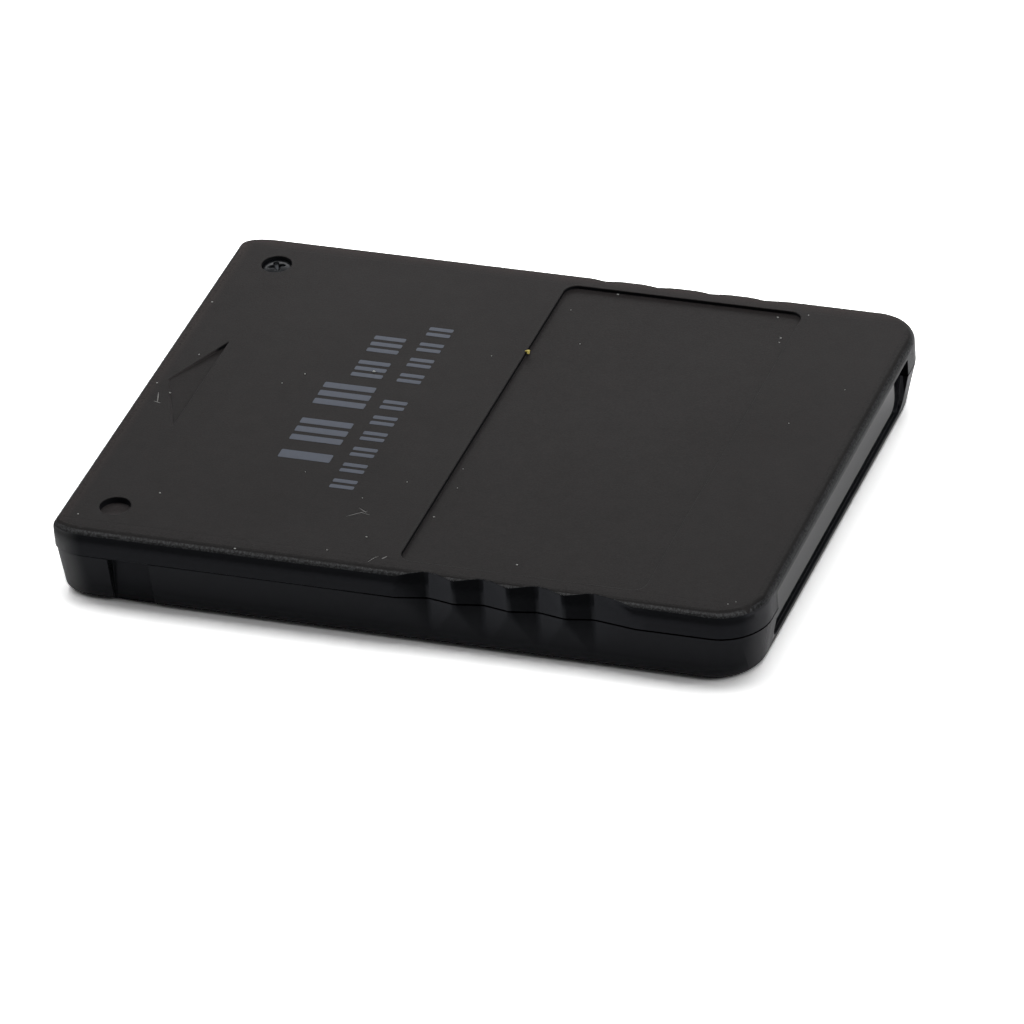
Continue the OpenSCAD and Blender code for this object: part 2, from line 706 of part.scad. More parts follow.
// The tantalum capacitor: a moulded block with a bevelled end and two folded terminals
module tantalum_capacitor() color("#c58a2e")
    translate([tantalum_at[0], tantalum_at[1], board_top]) difference() {
        union() {
            translate([-tantalum_l / 2, -tantalum_w / 2, 0.1])
                cube([tantalum_l, tantalum_w, tantalum_h - 0.1]);
            for (s = [-1, 1]) translate([s * (tantalum_l / 2 - 0.2) - 0.3, -0.9, 0])
                cube([0.6, 1.8, tantalum_h * 0.6]);
        }
        translate([-tantalum_l / 2, 0, tantalum_h]) rotate([0, 45, 0])
            cube([0.6, 2 * tantalum_w, 0.6], center = true);
    }

// A chip capacitor or resistor: a block with a slightly thicker cap on each end
module chip_part(h) {
    cap = chip_l * 0.2;
    k = 0.03;
    translate([-chip_l / 2 + k, -chip_w / 2 + k, k]) cube([chip_l - 2 * k, chip_w - 2 * k, h - 2 * k]);
    for (x = [-chip_l / 2, chip_l / 2 - cap]) translate([x, -chip_w / 2, 0]) cube([cap, chip_w, h]);
}

module chip_capacitor(i) color("#b08a5c")
    translate([capacitors_at[i - 1][0], capacitors_at[i - 1][1], board_top]) chip_part(capacitor_h);

module chip_resistor(i) color("#1b1b1e")
    translate([resistors_at[i - 1][0], resistors_at[i - 1][1], board_top]) chip_part(resistor_h);

top_cover();
bottom_housing();
housing_screw();
circuit_board();
for (i = [1:8]) contact_strip(i);
memory_chip();
memory_chip_leads();
controller_chip();
controller_chip_leads();
crystal_base();
crystal_lid();
regulator();
regulator_leads();
tantalum_capacitor();
for (i = [1:6]) chip_capacitor(i);
for (i = [1:5]) chip_resistor(i);
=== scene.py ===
"""Looks of a console memory card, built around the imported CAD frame.

The card lies on its flat face. X runs from the connector end to the grip end, Y across
the card and Z up. Sizes in this file are millimetres, and MM turns them into the metres
that Blender uses.
"""

import logging
import math
from dataclasses import dataclass, field
from enum import Enum
from typing import Any

import bpy
import numpy as np
from mathutils import Matrix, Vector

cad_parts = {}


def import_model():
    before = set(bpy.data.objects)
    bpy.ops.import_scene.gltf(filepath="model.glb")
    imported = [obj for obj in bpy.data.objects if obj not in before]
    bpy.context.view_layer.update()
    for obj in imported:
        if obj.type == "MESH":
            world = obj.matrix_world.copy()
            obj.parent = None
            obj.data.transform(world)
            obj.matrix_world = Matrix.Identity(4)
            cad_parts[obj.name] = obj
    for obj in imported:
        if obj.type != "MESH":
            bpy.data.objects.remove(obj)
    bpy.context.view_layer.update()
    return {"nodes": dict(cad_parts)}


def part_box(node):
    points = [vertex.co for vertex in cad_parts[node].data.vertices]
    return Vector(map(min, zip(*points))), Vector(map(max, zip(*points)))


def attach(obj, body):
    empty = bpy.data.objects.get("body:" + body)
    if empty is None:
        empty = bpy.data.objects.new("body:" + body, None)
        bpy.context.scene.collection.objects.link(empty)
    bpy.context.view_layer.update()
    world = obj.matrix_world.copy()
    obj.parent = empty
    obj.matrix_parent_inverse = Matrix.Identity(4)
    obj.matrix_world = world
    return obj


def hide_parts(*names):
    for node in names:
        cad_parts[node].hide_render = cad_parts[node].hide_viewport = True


MM = 0.001
BODY = "root"
LOG = logging.getLogger("memory_card")

Array = np.ndarray
Colour = tuple[float, float, float]
Span = tuple[float, float]
# The output of a node, or a number or colour in its place
Value = Any

WHITE: Colour = (1.0, 1.0, 1.0)


@dataclass(frozen=True)
class CardSizes:
    """The sizes of the card that its looks depend on, as the CAD model has them."""

    thickness: float = 6.4
    screw_x: float = -23.5
    screw_y: float = 17.25
    seat_depth: float = 0.8
    window_x: float = 27.05
    window_foot_x: float = 26.55


CARD = CardSizes()


# Nodes of a material


class Graph:
    """Makes and joins the nodes of one material or of the world."""

    def __init__(self, owner: bpy.types.Material | bpy.types.World) -> None:
        """Empties the owner's node tree."""
        owner.use_nodes = True
        self.tree = owner.node_tree
        self.tree.nodes.clear()

    def node(self, kind: str, settings: dict[str, Any] | None = None,
             inputs: dict[str | int, Value] | None = None) -> bpy.types.Node:
        """Adds one node."""
        made = self.tree.nodes.new(kind)
        for name, value in (settings or {}).items():
            setattr(made, name, value)
        for name, value in (inputs or {}).items():
            self.put(made.inputs[name], value)
        return made

    def put(self, socket: bpy.types.NodeSocket, value: Value) -> None:
        """Joins an output to an input, or sets the input's own value."""
        if isinstance(value, bpy.types.NodeSocket):
            self.tree.links.new(value, socket)
        elif socket.type == "RGBA" and len(value) == 3:
            socket.default_value = (*value, 1.0)
        else:
            socket.default_value = value

    def math(self, operation: str, a: Value, b: Value = 0.0) -> Value:
        """Returns the result of one Math node."""
        return self.node("ShaderNodeMath", {"operation": operation}, {0: a, 1: b}).outputs[0]

    def times(self, value: Value, *factors: Value) -> Value:
        """Multiplies a value."""
        for factor in factors:
            value = self.math("MULTIPLY", value, factor)
        return value

    def scaled(self, value: Value, factor: Value, added: Value) -> Value:
        """Returns the value times the factor, plus what is added."""
        return self.node("ShaderNodeMath", {"operation": "MULTIPLY_ADD"},
                         {0: value, 1: factor, 2: added}).outputs[0]

    def less(self, a: Value, b: Value) -> Value:
        """Returns a less b."""
        return self.math("SUBTRACT", a, b)

    def rest(self, share: Value) -> Value:
        """Returns what a share leaves of 1."""
        return self.less(1.0, share)

    def size(self, value: Value) -> Value:
        """Returns the value without its sign."""
        return self.math("ABSOLUTE", value)

    def larger(self, a: Value, b: Value) -> Value:
        """Returns the larger of two values."""
        return self.math("MAXIMUM", a, b)

    def above(self, value: Value, limit: float) -> Value:
        """Returns 1 where the value is above the limit, and 0 elsewhere."""
        return self.math("GREATER_THAN", value, limit)

    def below(self, value: Value, limit: float) -> Value:
        """Returns 1 where the value is below the limit, and 0 elsewhere."""
        return self.math("LESS_THAN", value, limit)

    def between(self, value: Value, span: Span) -> Value:
        """Returns 1 where the value lies inside the span, and 0 elsewhere."""
        return self.times(self.above(value, span[0]), self.below(value, span[1]))

    def rise(self, value: Value, span: Span, smooth: bool = True) -> Value:
        """Returns a share that rises from 0 to 1 as the value goes through a span."""
        kind = "SMOOTHSTEP" if smooth else "LINEAR"
        return self.node("ShaderNodeMapRange", {"interpolation_type": kind, "clamp": True},
                         {0: value, 1: span[0], 2: span[1], 3: 0.0, 4: 1.0}).outputs[0]

    def fall(self, value: Value, span: Span) -> Value:
        """Returns a share that falls smoothly from 1 to 0 through a span."""
        return self.rest(self.rise(value, span))

    def mix(self, factor: Value, a: Value, b: Value) -> Value:
        """Returns a number that goes from a to b with the factor."""
        return self.node("ShaderNodeMix", {"data_type": "FLOAT"}, {0: factor, 2: a, 3: b}).outputs[0]

    def blend(self, factor: Value, a: Value, b: Value) -> Value:
        """Returns a colour that goes from a to b with the factor."""
        return self.node("ShaderNodeMix", {"data_type": "RGBA"}, {0: factor, 6: a, 7: b}).outputs[2]

    def tinted(self, colour: Value, tint: Colour) -> Value:
        """Returns a colour times a tint, channel by channel."""
        return self.node("ShaderNodeMix", {"data_type": "RGBA", "blend_type": "MULTIPLY"},
                         {0: 1.0, 6: colour, 7: tint}).outputs[2]

    def brightened(self, colour: Value, factor: Value) -> Value:
        """Returns a colour times a number."""
        return self.node("ShaderNodeVectorMath", {"operation": "SCALE"},
                         {0: colour, "Scale": factor}).outputs[0]

    def place(self) -> Value:
        """Returns the surface point in the card's frame, in metres."""
        return self.node("ShaderNodeTexCoord").outputs["Object"]

    def normal(self) -> tuple[Value, Value, Value]:
        """Returns the X, Y and Z of the way that the surface faces."""
        return self.axes(self.node("ShaderNodeNewGeometry").outputs["Normal"])

    def shifted(self, place: Value, move: Colour, scale: Colour = WHITE) -> Value:
        """Returns the place stretched by scale along each axis, then moved."""
        return self.node("ShaderNodeMapping", {"vector_type": "POINT"},
                         {"Vector": place, "Location": move, "Scale": scale}).outputs[0]

    def axes(self, vector: Value) -> tuple[Value, Value, Value]:
        """Returns the X, Y and Z of a vector."""
        out = self.node("ShaderNodeSeparateXYZ", inputs={0: vector}).outputs
        return out[0], out[1], out[2]

    def noise(self, place: Value, grain: float, detail: float = 2.0, rough: float = 0.5) -> Value:
        """Makes a cloudy pattern.

        Returns: The pattern, from about 0.2 to 0.8.
        """
        return self.node("ShaderNodeTexNoise", None,
                         {"Vector": place, "Scale": 1.0 / (grain * MM), "Detail": detail,
                          "Roughness": rough}).outputs[0]

    def cells(self, place: Value, grain: float) -> Value:
        """Returns the distance to the middle of cells that measure about the grain."""
        return self.node("ShaderNodeTexVoronoi", {"feature": "F1"},
                         {"Vector": place, "Scale": 1.0 / (grain * MM)}).outputs["Distance"]

    def bump(self, height: Value, depth: Value, normal: Value = None) -> Value:
        """Makes the normal of a raised surface."""
        inputs = {"Height": height, "Distance": depth, "Strength": 1.0}
        if normal is not None:
            inputs["Normal"] = normal
        return self.node("ShaderNodeBump", None, inputs).outputs[0]

    def seen_by(self) -> tuple[Value, Value]:
        """Returns 1 for the camera's own rays, and 1 for those that gloss or glass sends on."""
        rays = self.node("ShaderNodeLightPath").outputs
        return rays["Is Camera Ray"], self.larger(rays["Is Glossy Ray"], rays["Is Transmission Ray"])

    def surface(self, **inputs: Value) -> None:
        """Adds the Principled shader and the output."""
        named = {name.replace("_", " "): value for name, value in inputs.items()}
        shader = self.node("ShaderNodeBsdfPrincipled", None, named)
        self.node("ShaderNodeOutputMaterial", None, {"Surface": shader.outputs[0]})


def new_material(name: str) -> tuple[bpy.types.Material, Graph]:
    """Returns an empty material and its graph."""
    material = bpy.data.materials.new(name)
    return material, Graph(material)


def toned(colour: Colour, factor: float) -> Colour:
    """Returns a colour made lighter or darker by a factor, up to white."""
    return tuple(min(1.0, factor * channel) for channel in colour)


@dataclass(frozen=True)
class Spot:
    """The shaded point. Its place is in metres, for patterns, and the rest in millimetres."""

    place: Value
    x: Value
    y: Value
    z: Value
    far_x: Value
    far_y: Value
    normal_x: Value
    normal_y: Value
    upright: Value

    @classmethod
    def read(cls, g: Graph) -> "Spot":
        """Reads the point once for a whole material.

        Returns: The point, with its distances from the card's middle planes and with how nearly
        its face is level.
        """
        place = g.place()
        x, y, z = (g.times(axis, 1.0 / MM) for axis in g.axes(place))
        normal_x, normal_y, normal_z = g.normal()
        return cls(place, x, y, z, g.size(x), g.size(y), normal_x, normal_y, g.size(normal_z))


# Finishes


@dataclass(frozen=True)
class CasePlaces:
    """Where the finishes of the case and its painted light and shade change, in millimetres in the card's
    frame.

    A pair is a span. A place called far is measured from the card's middle plane.
    """

    bare_wall_z: Span = (0.02, 4.8)
    ragged_z: Span = (4.8, 5.2)
    edge_far_x: float = 26.6
    edge_far_y: float = 19.8
    edge_z: float = 5.7
    dip_y: float = 19.0
    turn_far_y: float = 19.4
    turn_z: Span = (5.0, 5.75)
    pale_edge_y: Span = (19.2, 20.9)
    pale_edge_x: Span = (-27.3, -26.0)
    pale_edge_z: float = 5.0
    corner_x: float = -24.0
    corner_far_y: float = 19.0
    low_side_z: Span = (0.3, 1.5)
    seam_z: Span = (4.08, 4.22)
    seam_x: Span = (-8.0, 3.0)
    waves_x: Span = (-1.0, 19.0)
    waves_far_y: float = 19.0
    seat_x: float = -22.0
    seat_far_y: float = 15.5
    seat_z: Span = (5.0, 5.95)
    arrow_x: Span = (-26.4, -22.6)
    arrow_far_y: float = 6.3
    arrow_z: float = 5.9
    arrow_tip_y: Span = (4.5, 5.1)
    window_x: Span = (CARD.window_foot_x - 0.03, CARD.window_x + 0.03)
    window_far_y: float = 15.95
    window_z: Span = (1.22, 5.44)
    ledge_x: float = 25.4
    ledge_z: Span = (1.0, 1.3)
    ledge_far_y: Span = (15.5, 17.0)
    jamb_far_y: float = 17.2
    end_face_x: float = 26.0
    end_face_far_y: Span = (16.2, 16.5)


@dataclass(frozen=True)
class CaseZones:
    """Shares from 0 to 1 of the finishes, and of the painted shade, that the case has at the shaded point.
    """

    textured: Value
    arrow: Value
    rim: Value
    dip: Value
    polished: Value
    recess: Value
    seam: Value
    waves: Value


@dataclass(frozen=True)
class MouldedCase:
    """Black moulded plastic: a fine matt texture on the flat faces, smooth sides with a
    worn line where the texture ends, whose tone is partly painted highlight, and a
    polished wall in the grip end's recess. Several of its colours are painted light and
    shade, as their comments say.

    A gloss is a specular level. A level span is how nearly a face is level, from 0 for
    a wall to 1 for a level face, and a facing span is the same along an axis. A mottle is
    the factors of its darkest and lightest tone, and its grain is the size of its clouds.
    """

    at: CasePlaces = field(default_factory=CasePlaces)

    matt_colour: Colour = (0.0180, 0.0160, 0.0160)
    matt_mottle: Span = (0.78, 1.24)
    mottle_grain: float = 1.6
    mottle_span: Span = (0.30, 0.70)
    mottle_fine_share: float = 0.75
    matt_gloss: float = 0.12
    matt_roughness: float = 0.56
    roughness_grain: float = 9.0
    roughness_spread: float = 0.10
    texture_level: Span = (0.32, 0.42)
    texture_grain: float = 0.11
    texture_depth: float = 0.012
    texture_step: float = 0.55
    broad_grain: float = 0.45
    broad_share: float = 0.35
    uneven_grain: float = 5.0
    uneven_depth: float = 0.005
    ragged_grain: float = 0.15
    ragged_share: float = 0.26

    # partly painted highlight: the rim is a worn smooth band, and its tone and the light spots of its mottle
    # stand in part for the highlights and sparkle along the edge
    rim_colour: Colour = (0.0160, 0.0164, 0.0176)
    rim_highlight_mottle: Span = (0.35, 2.0)
    rim_grain: float = 0.20
    rim_span: Span = (0.40, 0.62)
    rim_gloss: float = 0.19
    rim_roughness: float = 0.36
    rim_level: Span = (0.77, 0.89)
    # painted shade: in the dip, where the top edge starts to turn down, the tone is darkened towards half
    # the matt colour, as the sheen fades there
    dip_level: Span = (0.955, 1.01)
    dip_shade_share: float = 0.85
    dip_painted_shade: float = 0.50
    turn_slope: float = 0.52

    smooth_colour: Colour = (0.0112, 0.0118, 0.0132)
    # painted light: the sides are made lighter low down, over the shade they reflect near the floor
    low_side_painted_light: Colour = (0.0270, 0.0275, 0.0300)
    side_gloss: float = 0.115
    side_roughness: float = 0.26
    # painted reflection colour: the sides' reflections are tinted cool, standing in for a cool light they
    # reflect
    side_reflection_tint: Colour = (0.90, 0.94, 1.08)
    # painted shadow: a thin black line with no gloss along the parting line stands in for the shadow in the
    # gap between the halves
    seam_painted_shadow: Colour = (0.0005, 0.0005, 0.0005)
    # the facets' gloss changes with the way they face along X, which paints them lighter and darker as light
    # and shade
    facet_change: float = -4.5
    facet_least: float = 0.1
    sharp_facing: Span = (0.02, 0.15)

    polish_colour: Colour = (0.0048, 0.0052, 0.0068)
    polish_gloss: float = 0.30
    polish_roughness: float = 0.07
    # the polished wall's reflections are tinted cool in the same way
    polish_reflection_tint: Colour = (0.96, 0.97, 1.05)
    # painted shade: the recess's ledge and end walls are darkened to this colour, with little gloss, as the
    # shade inside the recess
    recess_painted_shade: Colour = (0.0030, 0.0030, 0.0034)
    recess_gloss: float = 0.04
    jamb_facing: float = 0.6

    # painted sheen: the textured tone is made lighter towards the far side by this share per millimetre, for
    # how the light falls across the card
    painted_sheen_per_mm: float = 0.0060
    # painted light: the screw seats' floors are lightened by this factor, over the shade that falls in them
    seat_painted_light: float = 2.1
    # painted light: the arrow's walls are lightened by this factor, over their shade
    arrow_wall_painted_light: float = 2.8
    arrow_wall_level: Span = (0.5, 0.9)
    # the textured tone is made paler and warmer near the far and the connector edge
    pale_edge_tint: Colour = (2.05, 1.72, 1.66)
    # painted reflection: the connector end's rounded corners are made lighter, standing in for the floor
    # they reflect
    corner_painted_reflection: Colour = (0.0980, 0.0985, 0.0990)
    corner_facing: tuple[Span, Span] = ((0.03, 0.35), (0.60, 0.97))
    # painted light: the grip end's faces beside the recess are made lighter, for the light they catch
    end_face_painted_light: Colour = (0.0450, 0.0445, 0.0475)
    end_face_light_facing: Span = (0.60, 0.95)

    def make(self) -> bpy.types.Material:
        """Makes the material from the zones of its finishes."""
        material, g = new_material("case_black")
        spot = Spot.read(g)
        zones = self._zones(g, spot)
        fine = g.noise(spot.place, self.texture_grain, 2.0, 0.6)
        smooth = self._smooth_tone(g, spot, zones)
        # the rim's tone, partly painted highlight
        rim = g.blend(g.rise(g.noise(spot.place, self.rim_grain, 3.0, 0.7), self.rim_span),
                      *(toned(self.rim_colour, factor) for factor in self.rim_highlight_mottle))
        matt = g.blend(zones.rim, self._matt_tone(g, spot, zones, fine), rim)
        # cool tint on the reflections, standing in for a cool light
        side_reflection_tint = g.blend(zones.polished, self.side_reflection_tint, self.polish_reflection_tint)
        g.surface(Base_Color=g.blend(zones.textured, smooth, matt),
                  Roughness=self._roughness(g, spot, zones),
                  Specular_IOR_Level=self._gloss(g, spot, zones),
                  Specular_Tint=g.blend(zones.textured, side_reflection_tint, WHITE),
                  Normal=self._relief(g, spot, zones, fine))
        return material

    def _zones(self, g: Graph, spot: Spot) -> CaseZones:
        """Works out where each finish lies.

        The texture covers the arrow and the faces that are nearer to level than a ragged
        limit, the rim is the part of the outer top edge just inside that limit, and the
        dip, where shade is painted, is the part of that edge next to the face, short of the
        far side. Shade is also painted on the recess and the seam.
        """
        at = self.at
        ragged = g.less(g.noise(spot.place, self.ragged_grain, 3.0, 0.7), 0.5)
        ragged_share = g.times(g.rise(spot.z, at.ragged_z), self.ragged_share)
        level = g.scaled(ragged, ragged_share, spot.upright)
        arrow = self._arrow(g, spot)
        textured = g.times(g.larger(g.rise(level, self.texture_level), arrow),
                           g.rest(g.between(spot.z, at.bare_wall_z)))
        outer = g.times(g.larger(g.above(spot.far_x, at.edge_far_x), g.above(spot.far_y, at.edge_far_y)),
                        g.above(spot.z, at.edge_z))
        # the seam: a thin band along the parting line where the gap's shadow is painted
        seam = g.times(g.between(spot.z, at.seam_z), g.rise(spot.x, at.seam_x))
        return CaseZones(
            textured=textured,
            arrow=arrow,
            rim=g.times(textured, g.fall(level, self.rim_level), outer),
            dip=g.times(outer, g.fall(level, self.dip_level), g.below(spot.y, at.dip_y)),
            polished=g.times(g.between(spot.x, at.window_x), g.below(spot.far_y, at.window_far_y),
                             g.between(spot.z, at.window_z)),
            recess=self._recess(g, spot),
            seam=seam,
            waves=g.times(g.between(spot.x, at.waves_x), g.above(spot.far_y, at.waves_far_y)))

    def _arrow(self, g: Graph, spot: Spot) -> Value:
        """Finds the arrow's recess, short of its far tip.

        Returns: 1 in the recess and 0 elsewhere.
        """
        at = self.at
        return g.times(g.between(spot.x, at.arrow_x), g.below(spot.far_y, at.arrow_far_y),
                       g.above(spot.z, at.arrow_z), g.fall(spot.y, at.arrow_tip_y))

    def _recess(self, g: Graph, spot: Spot) -> Value:
        """Finds the ledge and the end walls of the grip end's recess, where shade is painted.

        Returns: 1 on the ledge and the end walls and 0 elsewhere.
        """
        at = self.at
        inward = g.above(spot.x, at.ledge_x)
        ledge = g.times(inward, g.fall(spot.z, at.ledge_z), g.fall(spot.far_y, at.ledge_far_y))
        jambs = g.times(inward, g.below(spot.far_y, at.jamb_far_y),
                        g.above(g.size(spot.normal_y), self.jamb_facing))
        return g.larger(ledge, jambs)

    def _matt_tone(self, g: Graph, spot: Spot, zones: CaseZones, fine: Value) -> Value:
        """Makes the colour of the textured faces.

        It is a mottle of two tones. Painted sheen makes it lighter towards the far side, and
        painted light makes it lighter still in the screw seats and on the arrow's walls, over
        their shade. It is paler and warmer at the far and the connector edge, and painted shade
        darkens it in the dip.
        """
        at = self.at
        mottle = g.mix(self.mottle_fine_share, g.noise(spot.place, self.mottle_grain, 3.0, 0.7), fine)
        tone = g.blend(g.rise(mottle, self.mottle_span, smooth=False),
                       *(toned(self.matt_colour, factor) for factor in self.matt_mottle))
        seat = g.times(g.below(spot.x, at.seat_x), g.above(spot.far_y, at.seat_far_y),
                       g.between(spot.z, at.seat_z))
        arrow_wall = g.times(zones.arrow, g.fall(spot.upright, self.arrow_wall_level))
        # painted light: the sheen across the card, and lighter screw seats and arrow walls over their shade
        light = g.times(g.scaled(spot.y, self.painted_sheen_per_mm, 1.0), g.mix(seat, 1.0, self.seat_painted_light),
                        g.mix(arrow_wall, 1.0, self.arrow_wall_painted_light))
        tone = g.brightened(tone, light)
        # paler and warmer near the far and the connector edge
        pale_edge = g.larger(g.rise(spot.y, at.pale_edge_y), g.fall(spot.x, at.pale_edge_x))
        pale_edge = g.times(pale_edge, g.above(spot.z, at.pale_edge_z))
        tone = g.blend(pale_edge, tone, g.tinted(tone, self.pale_edge_tint))
        # painted shade in the dip
        return g.blend(g.times(zones.dip, self.dip_shade_share), tone, toned(self.matt_colour, self.dip_painted_shade))

    def _smooth_tone(self, g: Graph, spot: Spot, zones: CaseZones) -> Value:
        """Makes the colour of the smooth sides.

        It is painted lighter low down, at the rounded corners of the connector end and on the
        grip end's faces beside the recess, as light and reflections, and painted darker in the
        recess and in the seam, as shade and shadow. The polished wall is darker too.
        """
        at = self.at
        toward_connector = g.times(spot.normal_x, -1.0)
        start, end = self.corner_facing
        corner = g.times(g.above(spot.far_y, at.corner_far_y), g.below(spot.x, at.corner_x),
                         g.less(g.rise(toward_connector, start), g.rise(toward_connector, end)))
        end_face = g.times(g.above(spot.x, at.end_face_x), g.rise(spot.far_y, at.end_face_far_y),
                           g.rise(spot.normal_x, self.end_face_light_facing))
        tone: Value = self.smooth_colour
        # painted light and reflection low down, at the corners and on the end faces; painted shade in the
        # recess and the seam
        layers = ((g.fall(spot.z, at.low_side_z), self.low_side_painted_light), (corner, self.corner_painted_reflection),
                  (end_face, self.end_face_painted_light), (zones.recess, self.recess_painted_shade),
                  (zones.polished, self.polish_colour), (zones.seam, self.seam_painted_shadow))
        for share, colour in layers:
            tone = g.blend(share, tone, colour)
        return tone

    def _roughness(self, g: Graph, spot: Spot, zones: CaseZones) -> Value:
        """Makes the roughness, which is cloudy on the texture."""
        spread = self.roughness_spread
        clouds = g.noise(spot.place, self.roughness_grain, 3.0, 0.6)
        matt = g.scaled(clouds, spread, self.matt_roughness - spread / 2.0)
        matt = g.mix(zones.rim, matt, self.rim_roughness)
        return g.mix(zones.polished, g.mix(zones.textured, self.side_roughness, matt), self.polish_roughness)

    def _gloss(self, g: Graph, spot: Spot, zones: CaseZones) -> Value:
        """Makes the gloss. Among the waves it changes with how a facet faces along X, which paints the
        facets lighter and darker as light and shade. It is low in the recess and nought in the seam, with
        their painted shade.
        """
        facet = g.scaled(g.times(zones.waves, spot.normal_x), self.facet_change, 1.0)
        side = g.times(g.mix(zones.recess, self.side_gloss, self.recess_gloss),
                       g.larger(facet, self.facet_least), g.rest(zones.seam))
        gloss = g.mix(zones.textured, side, g.mix(zones.rim, self.matt_gloss, self.rim_gloss))
        return g.mix(zones.polished, gloss, self.polish_gloss)

    def _relief(self, g: Graph, spot: Spot, zones: CaseZones, fine: Value) -> Value:
        """Makes the normal from the texture's pores, a broad unevenness and the soft turn."""
        grain = g.scaled(g.noise(spot.place, self.broad_grain, 2.0, 0.6), self.broad_share, fine)
        height = g.times(g.math("ADD", grain, self.texture_step), zones.textured)
        depth = self.texture_depth * MM
        pores = g.bump(height, g.mix(zones.rim, depth, 2.0 * depth))
        uneven = g.bump(g.noise(spot.place, self.uneven_grain, 1.0, 0.4), self.uneven_depth * MM, pores)
        facing_back = g.rise(g.times(spot.normal_x, -1.0), self.sharp_facing)
        sharp = g.times(zones.waves, facing_back)
        return g.bump(g.times(self._turn(g, spot), g.rest(sharp)), MM, uneven)

    def _turn(self, g: Graph, spot: Spot) -> Value:
        """Makes the height of a soft turn below the top edge's rounding.

        The slope grows evenly from nothing at the span's lower end to turn_slope at its
        upper end and stays so above, and the height is the sum of that slope.

        Returns: The height in millimetres, which is below zero.
        """
        low, high = self.at.turn_z
        over = g.larger(g.less(spot.z, low), 0.0)
        inside = g.math("MINIMUM", over, high - low)
        curve = g.times(inside, inside, self.turn_slope / (2.0 * (high - low)))
        line = g.times(g.less(over, inside), self.turn_slope)
        return g.times(g.math("ADD", curve, line), -1.0, g.above(spot.far_y, self.at.turn_far_y))


@dataclass(frozen=True)
class PrintInk:
    """Grey-blue pad-print ink: even, slightly satin, with a faint mottle."""

    colour: Colour = (0.049, 0.0615, 0.092)
    thin_share: float = 0.78
    roughness: Span = (0.38, 0.55)

    def make(self) -> bpy.types.Material:
        """Makes the material."""
        material, g = new_material("print_ink")
        place = g.place()
        mottle = g.noise(place, 0.35, 3.0, 0.65)
        thick = g.rise(mottle, (0.25, 0.60), smooth=False)
        g.surface(Base_Color=g.blend(thick, toned(self.colour, self.thin_share), self.colour),
                  Roughness=g.mix(mottle, *self.roughness),
                  Normal=g.bump(g.noise(place, 0.09, 2.0, 0.6), 0.006 * MM))
        return material


@dataclass(frozen=True)
class PlainMetal:
    """A plated metal: a base colour with cloudy roughness and fine marks.

    The brush stretches the marks along the axes where it is small.
    """

    name: str
    colour: Colour
    roughness: float
    metal: float = 1.0
    brush: Colour = (0.04, 1.0, 1.0)
    depth: float = 0.002

    def make(self) -> bpy.types.Material:
        """Makes the material."""
        material, g = new_material(self.name)
        place = g.place()
        marks = g.noise(g.shifted(place, (0.0, 0.0, 0.0), self.brush), 0.05, 2.0, 0.6)
        cloud = g.noise(place, 0.9, 3.0, 0.6)
        bright = g.rise(cloud, (0.3, 0.7), smooth=False)
        g.surface(Base_Color=g.blend(bright, toned(self.colour, 0.82), self.colour), Metallic=self.metal,
                  Roughness=g.mix(g.mix(0.5, marks, cloud), 0.7 * self.roughness, 1.3 * self.roughness),
                  Normal=g.bump(marks, self.depth * MM))
        return material


@dataclass(frozen=True)
class SolderMask:
    """Green solder mask over copper tracks, on a board whose cut edges show its tan core."""

    mask: Colour = (0.012, 0.085, 0.042)
    track: Colour = (0.030, 0.170, 0.085)
    core: Colour = (0.34, 0.27, 0.13)
    pitch_across: float = 0.90
    pitch_along: float = 1.10
    via_grain: float = 1.9
    via_share: float = 0.16
    film: float = 0.03

    def make(self) -> bpy.types.Material:
        """Makes the material.

        Tracks are the bright lines of two square wave patterns, one along each axis, cut
        into lengths by large noise cells.
        """
        material, g = new_material("board_green")
        place = g.place()
        x, y, _ = g.axes(place)
        patch = g.rise(g.noise(place, 4.5, 1.0, 0.4), (0.46, 0.54))
        tracks = g.mix(patch, self._lines(g, y, self.pitch_across), self._lines(g, x, self.pitch_along))
        raised = g.larger(tracks, g.below(g.cells(place, self.via_grain), self.via_share))
        edge = g.below(g.size(g.normal()[2]), 0.5)
        weave = g.noise(g.shifted(place, (0.0, 0.0, 0.0), (0.2, 0.2, 3.0)), 0.12, 2.0, 0.6)
        core = g.blend(weave, toned(self.core, 0.6), self.core)
        face_roughness = g.mix(g.noise(place, 2.0, 2.0, 0.5), 0.18, 0.32)
        g.surface(Base_Color=g.blend(edge, g.blend(raised, self.mask, self.track), core),
                  Roughness=g.mix(edge, face_roughness, 0.75), Normal=g.bump(raised, self.film * MM))
        return material

    @staticmethod
    def _lines(g: Graph, value: Value, pitch: float) -> Value:
        """Returns 1 on lines that repeat each pitch and take a third of it."""
        turn = g.math("FRACT", g.math("DIVIDE", value, pitch * MM))
        return g.below(g.size(g.less(turn, 0.5)), 0.17)


